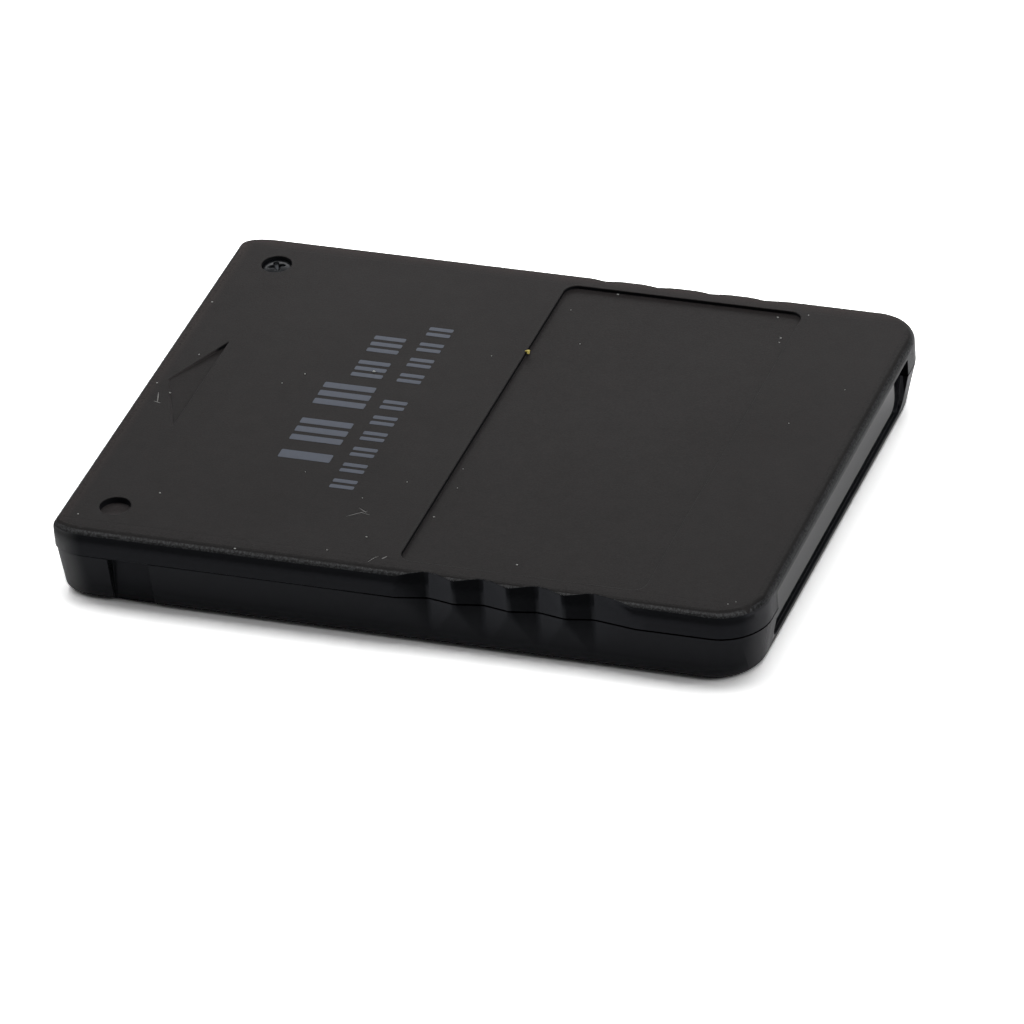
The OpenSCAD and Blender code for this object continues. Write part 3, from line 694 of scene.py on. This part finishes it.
@dataclass(frozen=True)
class Moulding:
    """A small moulded or fired body, with tinned ends and a stripe where it has them.

    Ends are what lies further than end_from from middle_x along X, and the stripe is what
    lies below stripe_from, measured from middle_x too.
    """

    name: str
    colour: Colour
    roughness: float = 0.55
    grain: float = 0.07
    depth: float = 0.006
    middle_x: float | None = None
    end_from: float = 0.0
    end_colour: Colour = (0.62, 0.62, 0.60)
    stripe_from: float | None = None
    stripe_colour: Colour = (0.05, 0.03, 0.02)

    def make(self) -> bpy.types.Material:
        """Makes the material."""
        material, g = new_material(self.name)
        place = g.place()
        grain = g.noise(place, self.grain, 3.0, 0.65)
        cloud = g.noise(place, 0.8, 2.0, 0.5)
        colour = g.blend(g.mix(0.5, grain, cloud), toned(self.colour, 0.75), toned(self.colour, 1.25))
        rough = g.mix(grain, self.roughness - 0.08, self.roughness + 0.12)
        normal = g.bump(grain, self.depth * MM)
        if self.middle_x is None:
            g.surface(Base_Color=colour, Roughness=rough, Normal=normal)
            return material
        x, _, _ = g.axes(g.shifted(place, (-self.middle_x * MM, 0.0, 0.0)))
        if self.stripe_from is not None:
            colour = g.blend(g.below(x, self.stripe_from * MM), colour, self.stripe_colour)
        end = g.above(g.size(x), self.end_from * MM)
        g.surface(Base_Color=g.blend(end, colour, self.end_colour), Metallic=g.times(end, 0.9),
                  Roughness=g.mix(end, rough, g.mix(cloud, 0.28, 0.45)), Normal=normal)
        return material


@dataclass(frozen=True)
class Speck:
    """Dust, lint or a paint speck: a rough pale surface with a little shade variation."""

    name: str
    colour: Colour
    roughness: float = 0.8

    def make(self) -> bpy.types.Material:
        """Makes the material."""
        material, g = new_material(self.name)
        shade = g.noise(g.place(), 0.06, 2.0, 0.6)
        g.surface(Base_Color=g.blend(shade, toned(self.colour, 0.6), self.colour), Roughness=self.roughness,
                  Normal=g.bump(shade, 0.01 * MM))
        return material


# Meshes and CAD nodes


def grid_faces(rows: int, columns: int) -> Array:
    """Works out the quads of a tube of points, row by row.

    Returns: The quads' corners, of shape (quads, 4).
    """
    row, column = np.meshgrid(np.arange(rows - 1), np.arange(columns), indexing="ij")
    row, column = row.ravel(), column.ravel()
    following = (column + 1) % columns
    return np.stack([row * columns + column, row * columns + following,
                     (row + 1) * columns + following, (row + 1) * columns + column], 1)


def copies(faces: Array, count: int, step: int) -> Array:
    """Repeats the faces of one shape for shapes whose points follow each other.

    Returns: The faces of all shapes.
    """
    shifts = (np.arange(count) * step)[:, None, None]
    return (faces[None] + shifts).reshape(-1, faces.shape[1])


def add_piece(name: str, points: Array, faces: list[Array], material: bpy.types.Material,
              smooth: bool = True) -> bpy.types.Object:
    """Makes a piece of the card from points in millimetres.

    Returns: The new object, which rides on the card.
    """
    mesh = bpy.data.meshes.new(name)
    corners = np.concatenate([group.ravel() for group in faces]).astype(np.int32)
    sizes = np.concatenate([np.full(len(group), group.shape[1]) for group in faces])
    starts = np.concatenate([[0], np.cumsum(sizes)[:-1]]).astype(np.int32)
    mesh.vertices.add(len(points))
    mesh.vertices.foreach_set("co", (points * MM).astype(np.float32).ravel())
    mesh.loops.add(len(corners))
    mesh.loops.foreach_set("vertex_index", corners)
    mesh.polygons.add(len(sizes))
    mesh.polygons.foreach_set("loop_start", starts)
    mesh.update(calc_edges=True)
    mesh.validate()
    mesh.polygons.foreach_set("use_smooth", np.full(len(mesh.polygons), smooth))
    mesh.materials.append(material)
    piece = bpy.data.objects.new(name, mesh)
    bpy.context.scene.collection.objects.link(piece)
    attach(piece, BODY)
    LOG.info("%s: %d points, %d faces", name, len(mesh.vertices), len(mesh.polygons))
    return piece


def paint(node: bpy.types.Object, material: bpy.types.Material) -> None:
    """Gives a CAD node one material on all its faces."""
    for place in node.material_slots:
        place.material = material
    if not node.material_slots:
        node.data.materials.append(material)


def soften(node: bpy.types.Object, radius: float, segments: int = 2) -> None:
    """Merges a CAD node's loose triangles and rounds its sharp edges, with modifiers alone."""
    steps = {
        ("weld", "WELD"): {"merge_threshold": 0.002 * MM},
        ("flat_faces", "DECIMATE"): {"decimate_type": "DISSOLVE", "angle_limit": math.radians(0.5)},
        ("edges", "BEVEL"): {"width": radius * MM, "segments": segments, "limit_method": "ANGLE",
                             "angle_limit": math.radians(28.0), "use_clamp_overlap": False,
                             "miter_outer": "MITER_ARC"},
        ("shading", "WEIGHTED_NORMAL"): {"mode": "FACE_AREA", "weight": 100, "keep_sharp": False},
    }
    for (name, kind), settings in steps.items():
        step = node.modifiers.new(name, kind)
        for setting, value in settings.items():
            setattr(step, setting, value)


def shade_smooth(node: bpy.types.Object) -> None:
    """Lets a CAD node's faces shade smoothly."""
    node.data.polygons.foreach_set("use_smooth", np.ones(len(node.data.polygons), bool))


# Sub-assemblies


class SmallPart(Enum):
    """The kinds of small parts on the board, by the start of their nodes' names."""

    CAPACITOR = "chip_capacitor_"
    RESISTOR = "chip_resistor_"


@dataclass
class Case:
    """The two case halves, with their edges rounded as a mould leaves them."""

    nodes: dict[str, bpy.types.Object]
    edge_radius: float = 0.06
    finish: MouldedCase = field(default_factory=MouldedCase)

    def dress(self) -> None:
        """Gives both halves the moulded finish and soft edges."""
        material = self.finish.make()
        for name in ("top_cover", "bottom_housing"):
            node = self.nodes[name]
            paint(node, material)
            soften(node, self.edge_radius)
            shade_smooth(node)
            LOG.info("%s dressed", name)


@dataclass
class Electronics:
    """The board with its contacts, chips and small parts, as CAD nodes with real finishes."""

    nodes: dict[str, bpy.types.Object]
    edge_radius: float = 0.03
    contacts: int = 8
    body_half: float = 0.48

    def finishes(self) -> dict[str, bpy.types.Material]:
        """Makes the finish of each node on the board.

        Returns: The materials, by node.
        """
        tin = PlainMetal("tinned_leads", (0.62, 0.63, 0.64), 0.30, brush=WHITE).make()
        epoxy = Moulding("chip_black", (0.022, 0.022, 0.024), 0.60, grain=0.06, depth=0.008).make()
        gold = PlainMetal("contact_gold", (0.83, 0.60, 0.22), 0.22, brush=(0.03, 1.0, 1.0),
                          depth=0.003).make()
        made = {
            "circuit_board": SolderMask().make(),
            "crystal_base": Moulding("ceramic", (0.50, 0.46, 0.37), 0.55, grain=0.05, depth=0.004).make(),
            "crystal_lid": PlainMetal("crystal_metal", (0.60, 0.61, 0.62), 0.24).make(),
            "tantalum_capacitor": Moulding("tantalum_yellow", (0.60, 0.33, 0.06), 0.42, grain=0.12,
                                           depth=0.004, middle_x=-6.6, end_from=1.72,
                                           stripe_from=-1.05).make(),
        }
        for chip in ("memory_chip", "controller_chip", "regulator"):
            made[chip] = epoxy
            made[chip + "_leads"] = tin
        made.update({f"contact_strip_{number}": gold for number in range(1, self.contacts + 1)})
        looks = {SmallPart.CAPACITOR: ((0.36, 0.23, 0.11), 0.45),
                 SmallPart.RESISTOR: ((0.018, 0.018, 0.020), 0.30)}
        for kind, (colour, roughness) in looks.items():
            for name in (node for node in self.nodes if node.startswith(kind.value)):
                low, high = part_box(name)
                middle = round((low.x + high.x) / 2.0 / MM, 3)
                made[name] = Moulding(name + "_body", colour, roughness, grain=0.05, depth=0.003,
                                      middle_x=middle, end_from=self.body_half).make()
        return made

    def dress(self) -> None:
        """Gives each node its finish, and all but the leads their rounded edges."""
        for name, material in self.finishes().items():
            paint(self.nodes[name], material)
            if not name.endswith("leads"):
                soften(self.nodes[name], self.edge_radius, segments=1)
            LOG.info("%s dressed", name)


@dataclass
class Screw:
    """The self-tapping screw: a low domed head with a cross recess, and a threaded shank."""

    head_radius: float = 1.12
    head_height: float = 0.66
    dome_drop: float = 0.16
    dome_reach: float = 0.97
    rim_height: float = 0.46
    neck_share: float = 0.70
    shank_radius: float = 0.69
    root_radius: float = 0.56
    shank_length: float = 3.58
    tip_share: float = 0.16
    thread_pitch: float = 0.6
    recess_reach: float = 0.52
    recess_width: float = 0.16
    recess_round: float = 0.07
    recess_wall: float = 0.09
    recess_depth: float = 0.42
    recess_shallower: float = 0.55
    recess_turn: float = 27.0
    spokes: int = 128
    head_rings: int = 34
    shank_rings: int = 72

    def head_points(self) -> Array:
        """Points of the head, as a height over rings and spokes.

        The dome is the head's height less a share of the squared distance from its axis.
        The recess is as deep as a smooth step of the distance from the nearer of two
        crossed bars, and it gets shallower away from the axis.

        Returns: Points of shape (rings * spokes, 3), ring by ring from the axis out.
        """
        ring = np.linspace(0.0, 1.0, self.head_rings) ** 0.9 * self.head_radius * self.dome_reach
        spoke = np.linspace(0.0, 2.0 * math.pi, self.spokes, endpoint=False)
        r, a = np.meshgrid(ring, spoke, indexing="ij")
        x, y = r * np.cos(a), r * np.sin(a)
        turn = math.radians(self.recess_turn)
        u = x * math.cos(turn) + y * math.sin(turn)
        v = -x * math.sin(turn) + y * math.cos(turn)
        bar = np.minimum(np.maximum(np.abs(u) - self.recess_reach, 0.0) + np.abs(v),
                         np.maximum(np.abs(v) - self.recess_reach, 0.0) + np.abs(u))
        wall = np.clip((self.recess_width + self.recess_round - bar) / self.recess_wall, 0.0, 1.0)
        wall = wall * wall * (3.0 - 2.0 * wall)
        slope = 1.0 - self.recess_shallower * np.clip(r / self.recess_reach, 0.0, 1.0)
        dome = self.head_height - self.dome_drop * (r / self.head_radius) ** 2
        z = dome - self.recess_depth * slope * wall
        return np.stack([x, y, z], 2).reshape(-1, 3)

    def shank_points(self) -> Array:
        """Points of the head's rim and the threaded shank, ring by ring from the top down.

        The shank's radius is a triangle wave of the height less the turn, so that the
        crest climbs one pitch in a turn, and it shrinks to a point at the tip.

        Returns: Points of shape (rings * spokes, 3).
        """
        spoke = np.linspace(0.0, 2.0 * math.pi, self.spokes, endpoint=False)
        depth = np.linspace(0.0, 1.0, self.shank_rings)[1:]
        z = -self.shank_length * depth[:, None] - 0.01 + 0.0 * spoke[None, :]
        phase = (z / self.thread_pitch - spoke[None, :] / (2.0 * math.pi)) % 1.0
        crest = 1.0 - np.abs(2.0 * phase - 1.0)
        taper = np.clip((1.0 - depth[:, None]) / self.tip_share, 0.02, 1.0) ** 0.7
        radius = (self.root_radius + (self.shank_radius - self.root_radius) * crest ** 1.5) * taper
        shank = np.stack([radius * np.cos(spoke), radius * np.sin(spoke), z], 2).reshape(-1, 3)
        # share of the head's radius, height
        rim = np.array([[1.0, self.rim_height], [1.0, 0.0], [self.neck_share, -0.005]])
        head = np.stack([np.outer(rim[:, 0] * self.head_radius, np.cos(spoke)),
                         np.outer(rim[:, 0] * self.head_radius, np.sin(spoke)),
                         np.repeat(rim[:, 1:2], self.spokes, 1)], 2).reshape(-1, 3)
        return np.concatenate([head, shank])

    def build(self) -> bpy.types.Object:
        """Makes the screw in its seat, in place of its CAD node."""
        points = np.concatenate([self.head_points(), self.shank_points()])
        rings = len(points) // self.spokes
        walls = grid_faces(rings, self.spokes)[:, ::-1]
        tip = np.arange((rings - 1) * self.spokes, rings * self.spokes)[None, :]
        seat = np.array([CARD.screw_x, CARD.screw_y, CARD.thickness - CARD.seat_depth])
        metal = PlainMetal("screw_black", (0.022, 0.024, 0.027), 0.30, metal=0.80, brush=WHITE, depth=0.004)
        screw = add_piece("screw_with_cross_recess", points + seat, [walls, tip], metal.make())
        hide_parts("housing_screw")
        return screw


def steps(first: float, step: float, count: int) -> tuple[float, ...]:
    """Returns a number of evenly spaced values."""
    return tuple(first + step * number for number in range(count))


@dataclass(frozen=True)
class Stripes:
    """Groups of equal printed stripes, side by side along Y.

    x is the stripes' middle, length runs along X and width along Y, pitch is the distance
    between the stripes of a group, and groups holds the middle of each group along Y.
    """

    x: float
    length: float
    width: float
    pitch: float
    in_group: int
    groups: tuple[float, ...]

    def rows(self) -> Array:
        """Places the stripes.

        A stripe's Y is its group's middle plus the pitch times its number, where the
        numbers of a group are even on both sides of nought.

        Returns: An array of shape (stripes, 4): x, y, length along X, width along Y.
        """
        number = np.arange(self.in_group) - (self.in_group - 1) / 2.0
        y = (np.array(self.groups)[:, None] + self.pitch * number[None, :]).ravel()
        same = np.ones(len(y))
        return np.stack([self.x * same, y, self.length * same, self.width * same], 1)


@dataclass
class PrintedMarks:
    """The printed area: two rows of plain stripes in one ink."""

    ink: PrintInk = field(default_factory=PrintInk)
    film: float = 0.010
    sunk: float = 0.002
    corner: float = 0.12
    corner_points: int = 32
    stripes: tuple[Stripes, ...] = (
        Stripes(-11.95, 4.1, 1.05, pitch=0.0, in_group=1, groups=(-7.75,)),
        Stripes(-11.95, 4.1, 0.72, pitch=1.14, in_group=3, groups=(-4.30, 0.75)),
        Stripes(-11.25, 2.5, 0.50, pitch=0.86, in_group=3, groups=(4.61, 8.11)),
        Stripes(-7.85, 1.9, 0.44, pitch=0.76, in_group=2,
                groups=steps(-10.75, 2.20, 6) + steps(4.05, 2.20, 4)),
    )

    def build(self) -> bpy.types.Object:
        """Makes all stripes as one thin film on the cover's face.

        A stripe's outline is a rectangle whose corners are quarter circles, drawn once on
        the face and once a film's thickness above it.
        """
        n = self.corner_points
        turn = np.linspace(0.0, 2.0 * math.pi, n, endpoint=False) + math.pi / n
        circle = np.stack([np.cos(turn), np.sin(turn)], 1)
        stripes = np.concatenate([group.rows() for group in self.stripes])
        reach = stripes[:, None, 2:] / 2.0 - self.corner
        flat = stripes[:, None, :2] + np.sign(circle)[None] * reach + self.corner * circle[None]
        count = len(flat)
        low = np.concatenate([flat, np.full((count, n, 1), CARD.thickness - self.sunk)], 2)
        high = np.concatenate([flat, np.full((count, n, 1), CARD.thickness + self.film)], 2)
        points = np.stack([low, high], 1).reshape(-1, 3)
        walls = copies(grid_faces(2, n), count, 2 * n)
        tops = copies(np.arange(n, 2 * n)[None, :], count, 2 * n)
        return add_piece("printed_blocks", points, [walls, tops], self.ink.make(), False)


@dataclass
class SurfaceMarks:
    """Dust specks, one paint speck and fine scratches on the cover."""

    # x, y, z, radius along X, radius along Y
    dust: Array = field(default_factory=lambda: np.array([
        (3.51, 19.19, 6.10, 0.09, 0.06), (5.00, 19.53, 6.10, 0.07, 0.05), (16.43, 18.70, 6.10, 0.08, 0.07),
        (17.54, 15.96, 6.10, 0.07, 0.08), (17.62, 15.35, 6.10, 0.05, 0.06), (0.70, 16.32, 6.10, 0.04, 0.04),
        (2.93, 11.90, 6.10, 0.05, 0.04), (18.78, 19.06, 6.40, 0.06, 0.05), (8.13, -17.67, 6.10, 0.07, 0.06),
        (0.04, -13.01, 6.10, 0.08, 0.05), (-0.01, -6.41, 6.10, 0.04, 0.04), (0.44, -8.94, 6.10, 0.04, 0.04),
        (-26.49, -0.72, 6.40, 0.06, 0.08), (-25.02, -1.82, 6.40, 0.08, 0.06),
        (-24.78, 3.75, 6.40, 0.05, 0.06), (-26.45, 11.00, 6.40, 0.07, 0.07),
        (-20.83, -14.90, 6.40, 0.08, 0.06), (-25.80, -18.91, 6.40, 0.06, 0.06),
        (-12.77, -20.60, 6.34, 0.08, 0.07), (-6.02, -19.33, 6.40, 0.07, 0.05),
        (-3.76, -17.06, 6.40, 0.07, 0.05), (-3.32, -9.43, 6.40, 0.04, 0.05),
        (-5.83, -12.20, 6.40, 0.04, 0.04), (-15.91, 2.92, 6.40, 0.06, 0.06),
        (-17.18, 1.35, 6.40, 0.04, 0.04), (-10.88, 4.33, 6.41, 0.12, 0.10),
        (24.92, -19.50, 6.38, 0.05, 0.04), (25.40, -19.10, 6.38, 0.04, 0.04),
        (26.20, -19.00, 6.30, 0.05, 0.03), (-2.90, 8.40, 6.40, 0.03, 0.03), (21.90, 4.40, 6.40, 0.04, 0.04),
        (24.60, 9.70, 6.40, 0.03, 0.03), (-11.20, -9.80, 6.40, 0.03, 0.03)]))
    paint: Array = field(default_factory=lambda: np.array([
        (-0.42, 9.60, 6.38, 0.20, 0.16), (-0.30, 9.36, 6.38, 0.12, 0.10)]))
    # start x, start y, end x, end y, bow to one side, width
    scratches: Array = field(default_factory=lambda: np.array([
        (-6.18, -14.81, -4.85, -13.76, 0.02, 0.075), (-5.63, -13.52, -4.85, -14.03, 0.02, 0.065),
        (-5.20, -14.10, -4.55, -14.20, 0.0, 0.050), (-2.54, -20.16, -2.15, -19.33, 0.02, 0.065),
        (-2.20, -19.50, -2.02, -19.25, 0.0, 0.050), (-1.67, -19.55, -1.41, -19.16, 0.02, 0.130),
        (-25.93, -1.88, -25.51, -3.21, 0.01, 0.095), (-25.85, -3.12, -25.20, -3.28, 0.0, 0.080)]))
    # the four corners of a scratch's section: place across as a share of half its width, height
    section: Array = field(default_factory=lambda: np.array([
        (-1.0, -0.004), (0.0, 0.014), (1.0, -0.004), (0.0, -0.006)]))
    grain_rings: int = 9
    grain_spokes: int = 16
    scratch_rings: int = 13

    def grains(self, rows: Array) -> tuple[Array, Array]:
        """Flat grains: an ellipsoid for each row, half sunk, whose radius wobbles.

        The radius is 1 plus a sine of three times the longitude, and the height is less
        than half the mean radius.

        Returns: Points of shape (n, 3) and quads of shape (m, 4).
        """
        up = np.linspace(0.02, math.pi - 0.02, self.grain_rings)
        around = np.linspace(0.0, 2.0 * math.pi, self.grain_spokes, endpoint=False)
        p, a = np.meshgrid(up, around, indexing="ij")
        middle_x, middle_y, middle_z, radius_x, radius_y = (rows[:, k, None, None] for k in range(5))
        wobble = 1.0 + 0.22 * np.sin(3.0 * a + 5.0 * middle_x) * np.sin(p)
        x = middle_x + radius_x * wobble * np.sin(p) * np.cos(a)
        y = middle_y + radius_y * wobble * np.sin(p) * np.sin(a)
        z = middle_z + 0.22 * (radius_x + radius_y) * (0.55 + np.cos(p)) + 0.0 * a
        points = np.stack([x, y, z], 3).reshape(-1, 3)
        faces = copies(grid_faces(self.grain_rings, self.grain_spokes), len(rows), p.size)
        return points, faces[:, ::-1]

    def hairs(self, rows: Array) -> tuple[Array, Array]:
        """Scratches: thin ridges along bowed lines.

        A line runs straight from its start to its end plus a parabola to one side. Its
        section is a flat triangle that narrows to nothing at both ends.

        Returns: Points of shape (n, 3) and quads of shape (m, 4).
        """
        t = np.linspace(0.0, 1.0, self.scratch_rings)[None, :, None]
        arch = 4.0 * t * (1.0 - t)
        start, end = rows[:, None, 0:2], rows[:, None, 2:4]
        bow, width = rows[:, None, 4:5], rows[:, None, 5:6]
        step = (end - start) / np.linalg.norm(end - start, axis=2, keepdims=True)
        side = np.stack([-step[..., 1], step[..., 0]], 2)
        middle = start + (end - start) * t + side * bow * arch
        half = width / 2.0 * np.sqrt(np.clip(arch, 0.02, 1.0))
        across, height = self.section[:, 0], self.section[:, 1]
        flat = middle[:, :, None, :] + (side * half)[:, :, None, :] * across[None, None, :, None]
        z = np.broadcast_to(CARD.thickness + height[None, None, :, None], (*flat.shape[:3], 1))
        points = np.concatenate([flat, z], 3).reshape(-1, 3)
        corners = len(self.section)
        faces = copies(grid_faces(self.scratch_rings, corners), len(rows), self.scratch_rings * corners)
        return points, faces

    def build(self) -> None:
        """Makes the dust, the paint speck and the scratches as three pieces."""
        looks = (
            ("dust_specks", self.grains(self.dust), Speck("dust_grey", (0.55, 0.56, 0.54)), True),
            ("paint_speck", self.grains(self.paint), Speck("paint_yellow", (0.62, 0.50, 0.08), 0.5), True),
            ("surface_scratches", self.hairs(self.scratches),
             Speck("scratch_grey", (0.26, 0.26, 0.25), 0.6), False),
        )
        for name, (points, faces), finish, smooth in looks:
            add_piece(name, points, [faces], finish.make(), smooth)


# Studio


def toward(azimuth: float, elevation: float) -> Array:
    """Works out a direction from the card.

    Its X is the azimuth's sine and its Y the azimuth's cosine below zero, both times the
    elevation's cosine, and its Z is the elevation's sine. Azimuth 0 is the -Y side and 90
    the +X side.
    """
    a, e = math.radians(azimuth), math.radians(elevation)
    return np.array([math.sin(a) * math.cos(e), -math.cos(a) * math.cos(e), math.sin(e)])


def link_posed(name: str, data: bpy.types.ID, right: Array, up: Array, back: Array,
               spot: Array) -> bpy.types.Object:
    """Adds a camera or lamp to the scene."""
    made = bpy.data.objects.new(name, data)
    bpy.context.scene.collection.objects.link(made)
    columns = np.eye(4)
    columns[:3, :] = np.stack([right, up, back, spot], 1)
    made.matrix_world = Matrix(columns.tolist())
    return made


@dataclass
class PhotoCamera:
    """The camera, at the photograph's viewing angle. Angles are degrees."""

    azimuth: float = 21.8557
    elevation: float = 33.1177
    roll: float = -4.9999
    shift_right: float = -1.075
    shift_up: float = 1.5398
    distance: float = 715.4577
    lens: float = 335.9
    sensor: float = 36.0

    def build(self) -> bpy.types.Object:
        """Places the camera.

        Its back direction follows from azimuth and elevation, right is level, and both
        right and up are then rolled about back.
        """
        a, r = math.radians(self.azimuth), math.radians(self.roll)
        back = toward(self.azimuth, self.elevation)
        level = np.array([math.cos(a), math.sin(a), 0.0])
        upright = np.cross(back, level)
        right = level * math.cos(r) + upright * math.sin(r)
        up = -level * math.sin(r) + upright * math.cos(r)
        spot = (-right * self.shift_right - up * self.shift_up + back * self.distance) * MM
        data = bpy.data.cameras.new("photo_camera")
        data.lens, data.sensor_width = self.lens, self.sensor
        data.clip_start, data.clip_end = 0.05, 50.0
        camera = link_posed("photo_camera", data, right, up, back, spot)
        bpy.context.scene.camera = camera
        return camera


@dataclass(frozen=True)
class SoftBox:
    """A rectangular lamp that points at the card. Its distance and size are metres."""

    name: str
    azimuth: float
    elevation: float
    distance: float
    size: tuple[float, float]
    level: float

    def build(self) -> bpy.types.Object:
        """Makes the lamp.

        Its power is what lights a level white sheet at the card to the given share of
        white: level times pi squared, times the distance squared, over the height's sine.
        """
        away = toward(self.azimuth, self.elevation)
        data = bpy.data.lights.new(self.name, "AREA")
        data.shape = "RECTANGLE"
        data.size, data.size_y = self.size
        data.energy = self.level * math.pi ** 2 * self.distance ** 2 / math.sin(math.radians(self.elevation))
        data.color = WHITE
        side = np.cross([0.0, 0.0, 1.0], away)
        side = side / np.linalg.norm(side)
        return link_posed(self.name, data, side, np.cross(away, side), away, away * self.distance)


@dataclass
class Studio:
    """A pale floor, soft lamps and a dim room with a white backdrop.

    The room's spans are shares of a direction's length along Y or Z.
    """

    boxes: tuple[SoftBox, ...] = (
        SoftBox("overhead_box", 180.0, 80.0, 0.50, (0.60, 0.24), 0.60),
        SoftBox("back_box", 190.0, 24.0, 0.18, (0.20, 0.06), 0.10),
        SoftBox("left_box", 268.0, 42.0, 0.80, (0.45, 0.45), 0.09),
        SoftBox("right_box", 86.0, 38.0, 0.80, (0.45, 0.45), 0.11),
    )
    floor_colour: Colour = (0.80, 0.80, 0.80)
    seen_colour: Colour = (2.40, 2.40, 2.40)
    floor_size: float = 8.0
    floor_drop: float = 0.00001
    paper_share: float = 0.985
    room_level: float = 0.20
    dark_level: float = 0.02
    far_side_y: Span = (-0.35, 0.45)
    backdrop_z: Span = (0.05, 0.22)
    card_level: float = 0.30
    card_y: Span = (-0.50, -0.15)
    card_low_z: Span = (0.05, 0.15)
    card_high_z: Span = (0.65, 0.85)

    def build(self) -> None:
        """Makes the lamps, the floor and the world."""
        for box in self.boxes:
            box.build()
        self._floor()
        self._world()
        view = bpy.context.scene.view_settings
        view.view_transform = "Standard"

    def _floor(self) -> None:
        """Makes the floor as a large level sheet just under the card."""
        half, drop = self.floor_size / 2.0, -self.floor_drop
        corners = [(-half, -half, drop), (half, -half, drop), (half, half, drop), (-half, half, drop)]
        mesh = bpy.data.meshes.new("floor")
        mesh.from_pydata(corners, [], [(0, 1, 2, 3)])
        floor = bpy.data.objects.new("floor", mesh)
        bpy.context.scene.collection.objects.link(floor)
        material, g = new_material("floor_white")
        paper = g.noise(g.place(), 0.5, 2.0, 0.5)
        shade = g.blend(paper, toned(self.floor_colour, self.paper_share), self.floor_colour)
        camera, mirrored = g.seen_by()
        colour = g.blend(camera, g.blend(mirrored, shade, WHITE), self.seen_colour)
        g.surface(Base_Color=colour, Roughness=0.95, Specular_IOR_Level=0.0)
        mesh.materials.append(material)

    def _world(self) -> None:
        """Makes the room: dim overhead and behind, dark on the near side.

        The camera sees white all round. Gloss and glass also see a white backdrop low on
        the far side and a pale card on the near side.
        """
        world = bpy.data.worlds.new("room")
        bpy.context.scene.world = world
        g = Graph(world)
        _, y, z = g.axes(g.node("ShaderNodeTexCoord").outputs["Generated"])
        far = g.rise(y, self.far_side_y)
        room = g.mix(far, self.dark_level, self.room_level)
        camera, mirrored = g.seen_by()
        backdrop = g.times(mirrored, far, g.fall(z, self.backdrop_z))
        card = g.times(mirrored, g.fall(y, self.card_y), g.rise(z, self.card_low_z),
                       g.fall(z, self.card_high_z))
        level = g.mix(g.larger(camera, backdrop), g.scaled(card, self.card_level, room), 1.0)
        sky = g.node("ShaderNodeBackground", None, {"Color": WHITE, "Strength": level})
        g.node("ShaderNodeOutputWorld", None, {"Surface": sky.outputs[0]})


def main() -> None:
    """Loads the frame, dresses the card and sets up the studio."""
    logging.basicConfig(level=logging.INFO, format="%(name)s: %(message)s")
    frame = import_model()
    PhotoCamera().build()
    Case(frame["nodes"]).dress()
    Electronics(frame["nodes"]).dress()
    Screw().build()
    PrintedMarks().build()
    SurfaceMarks().build()
    Studio().build()


if __name__ == "__main__":
    main()
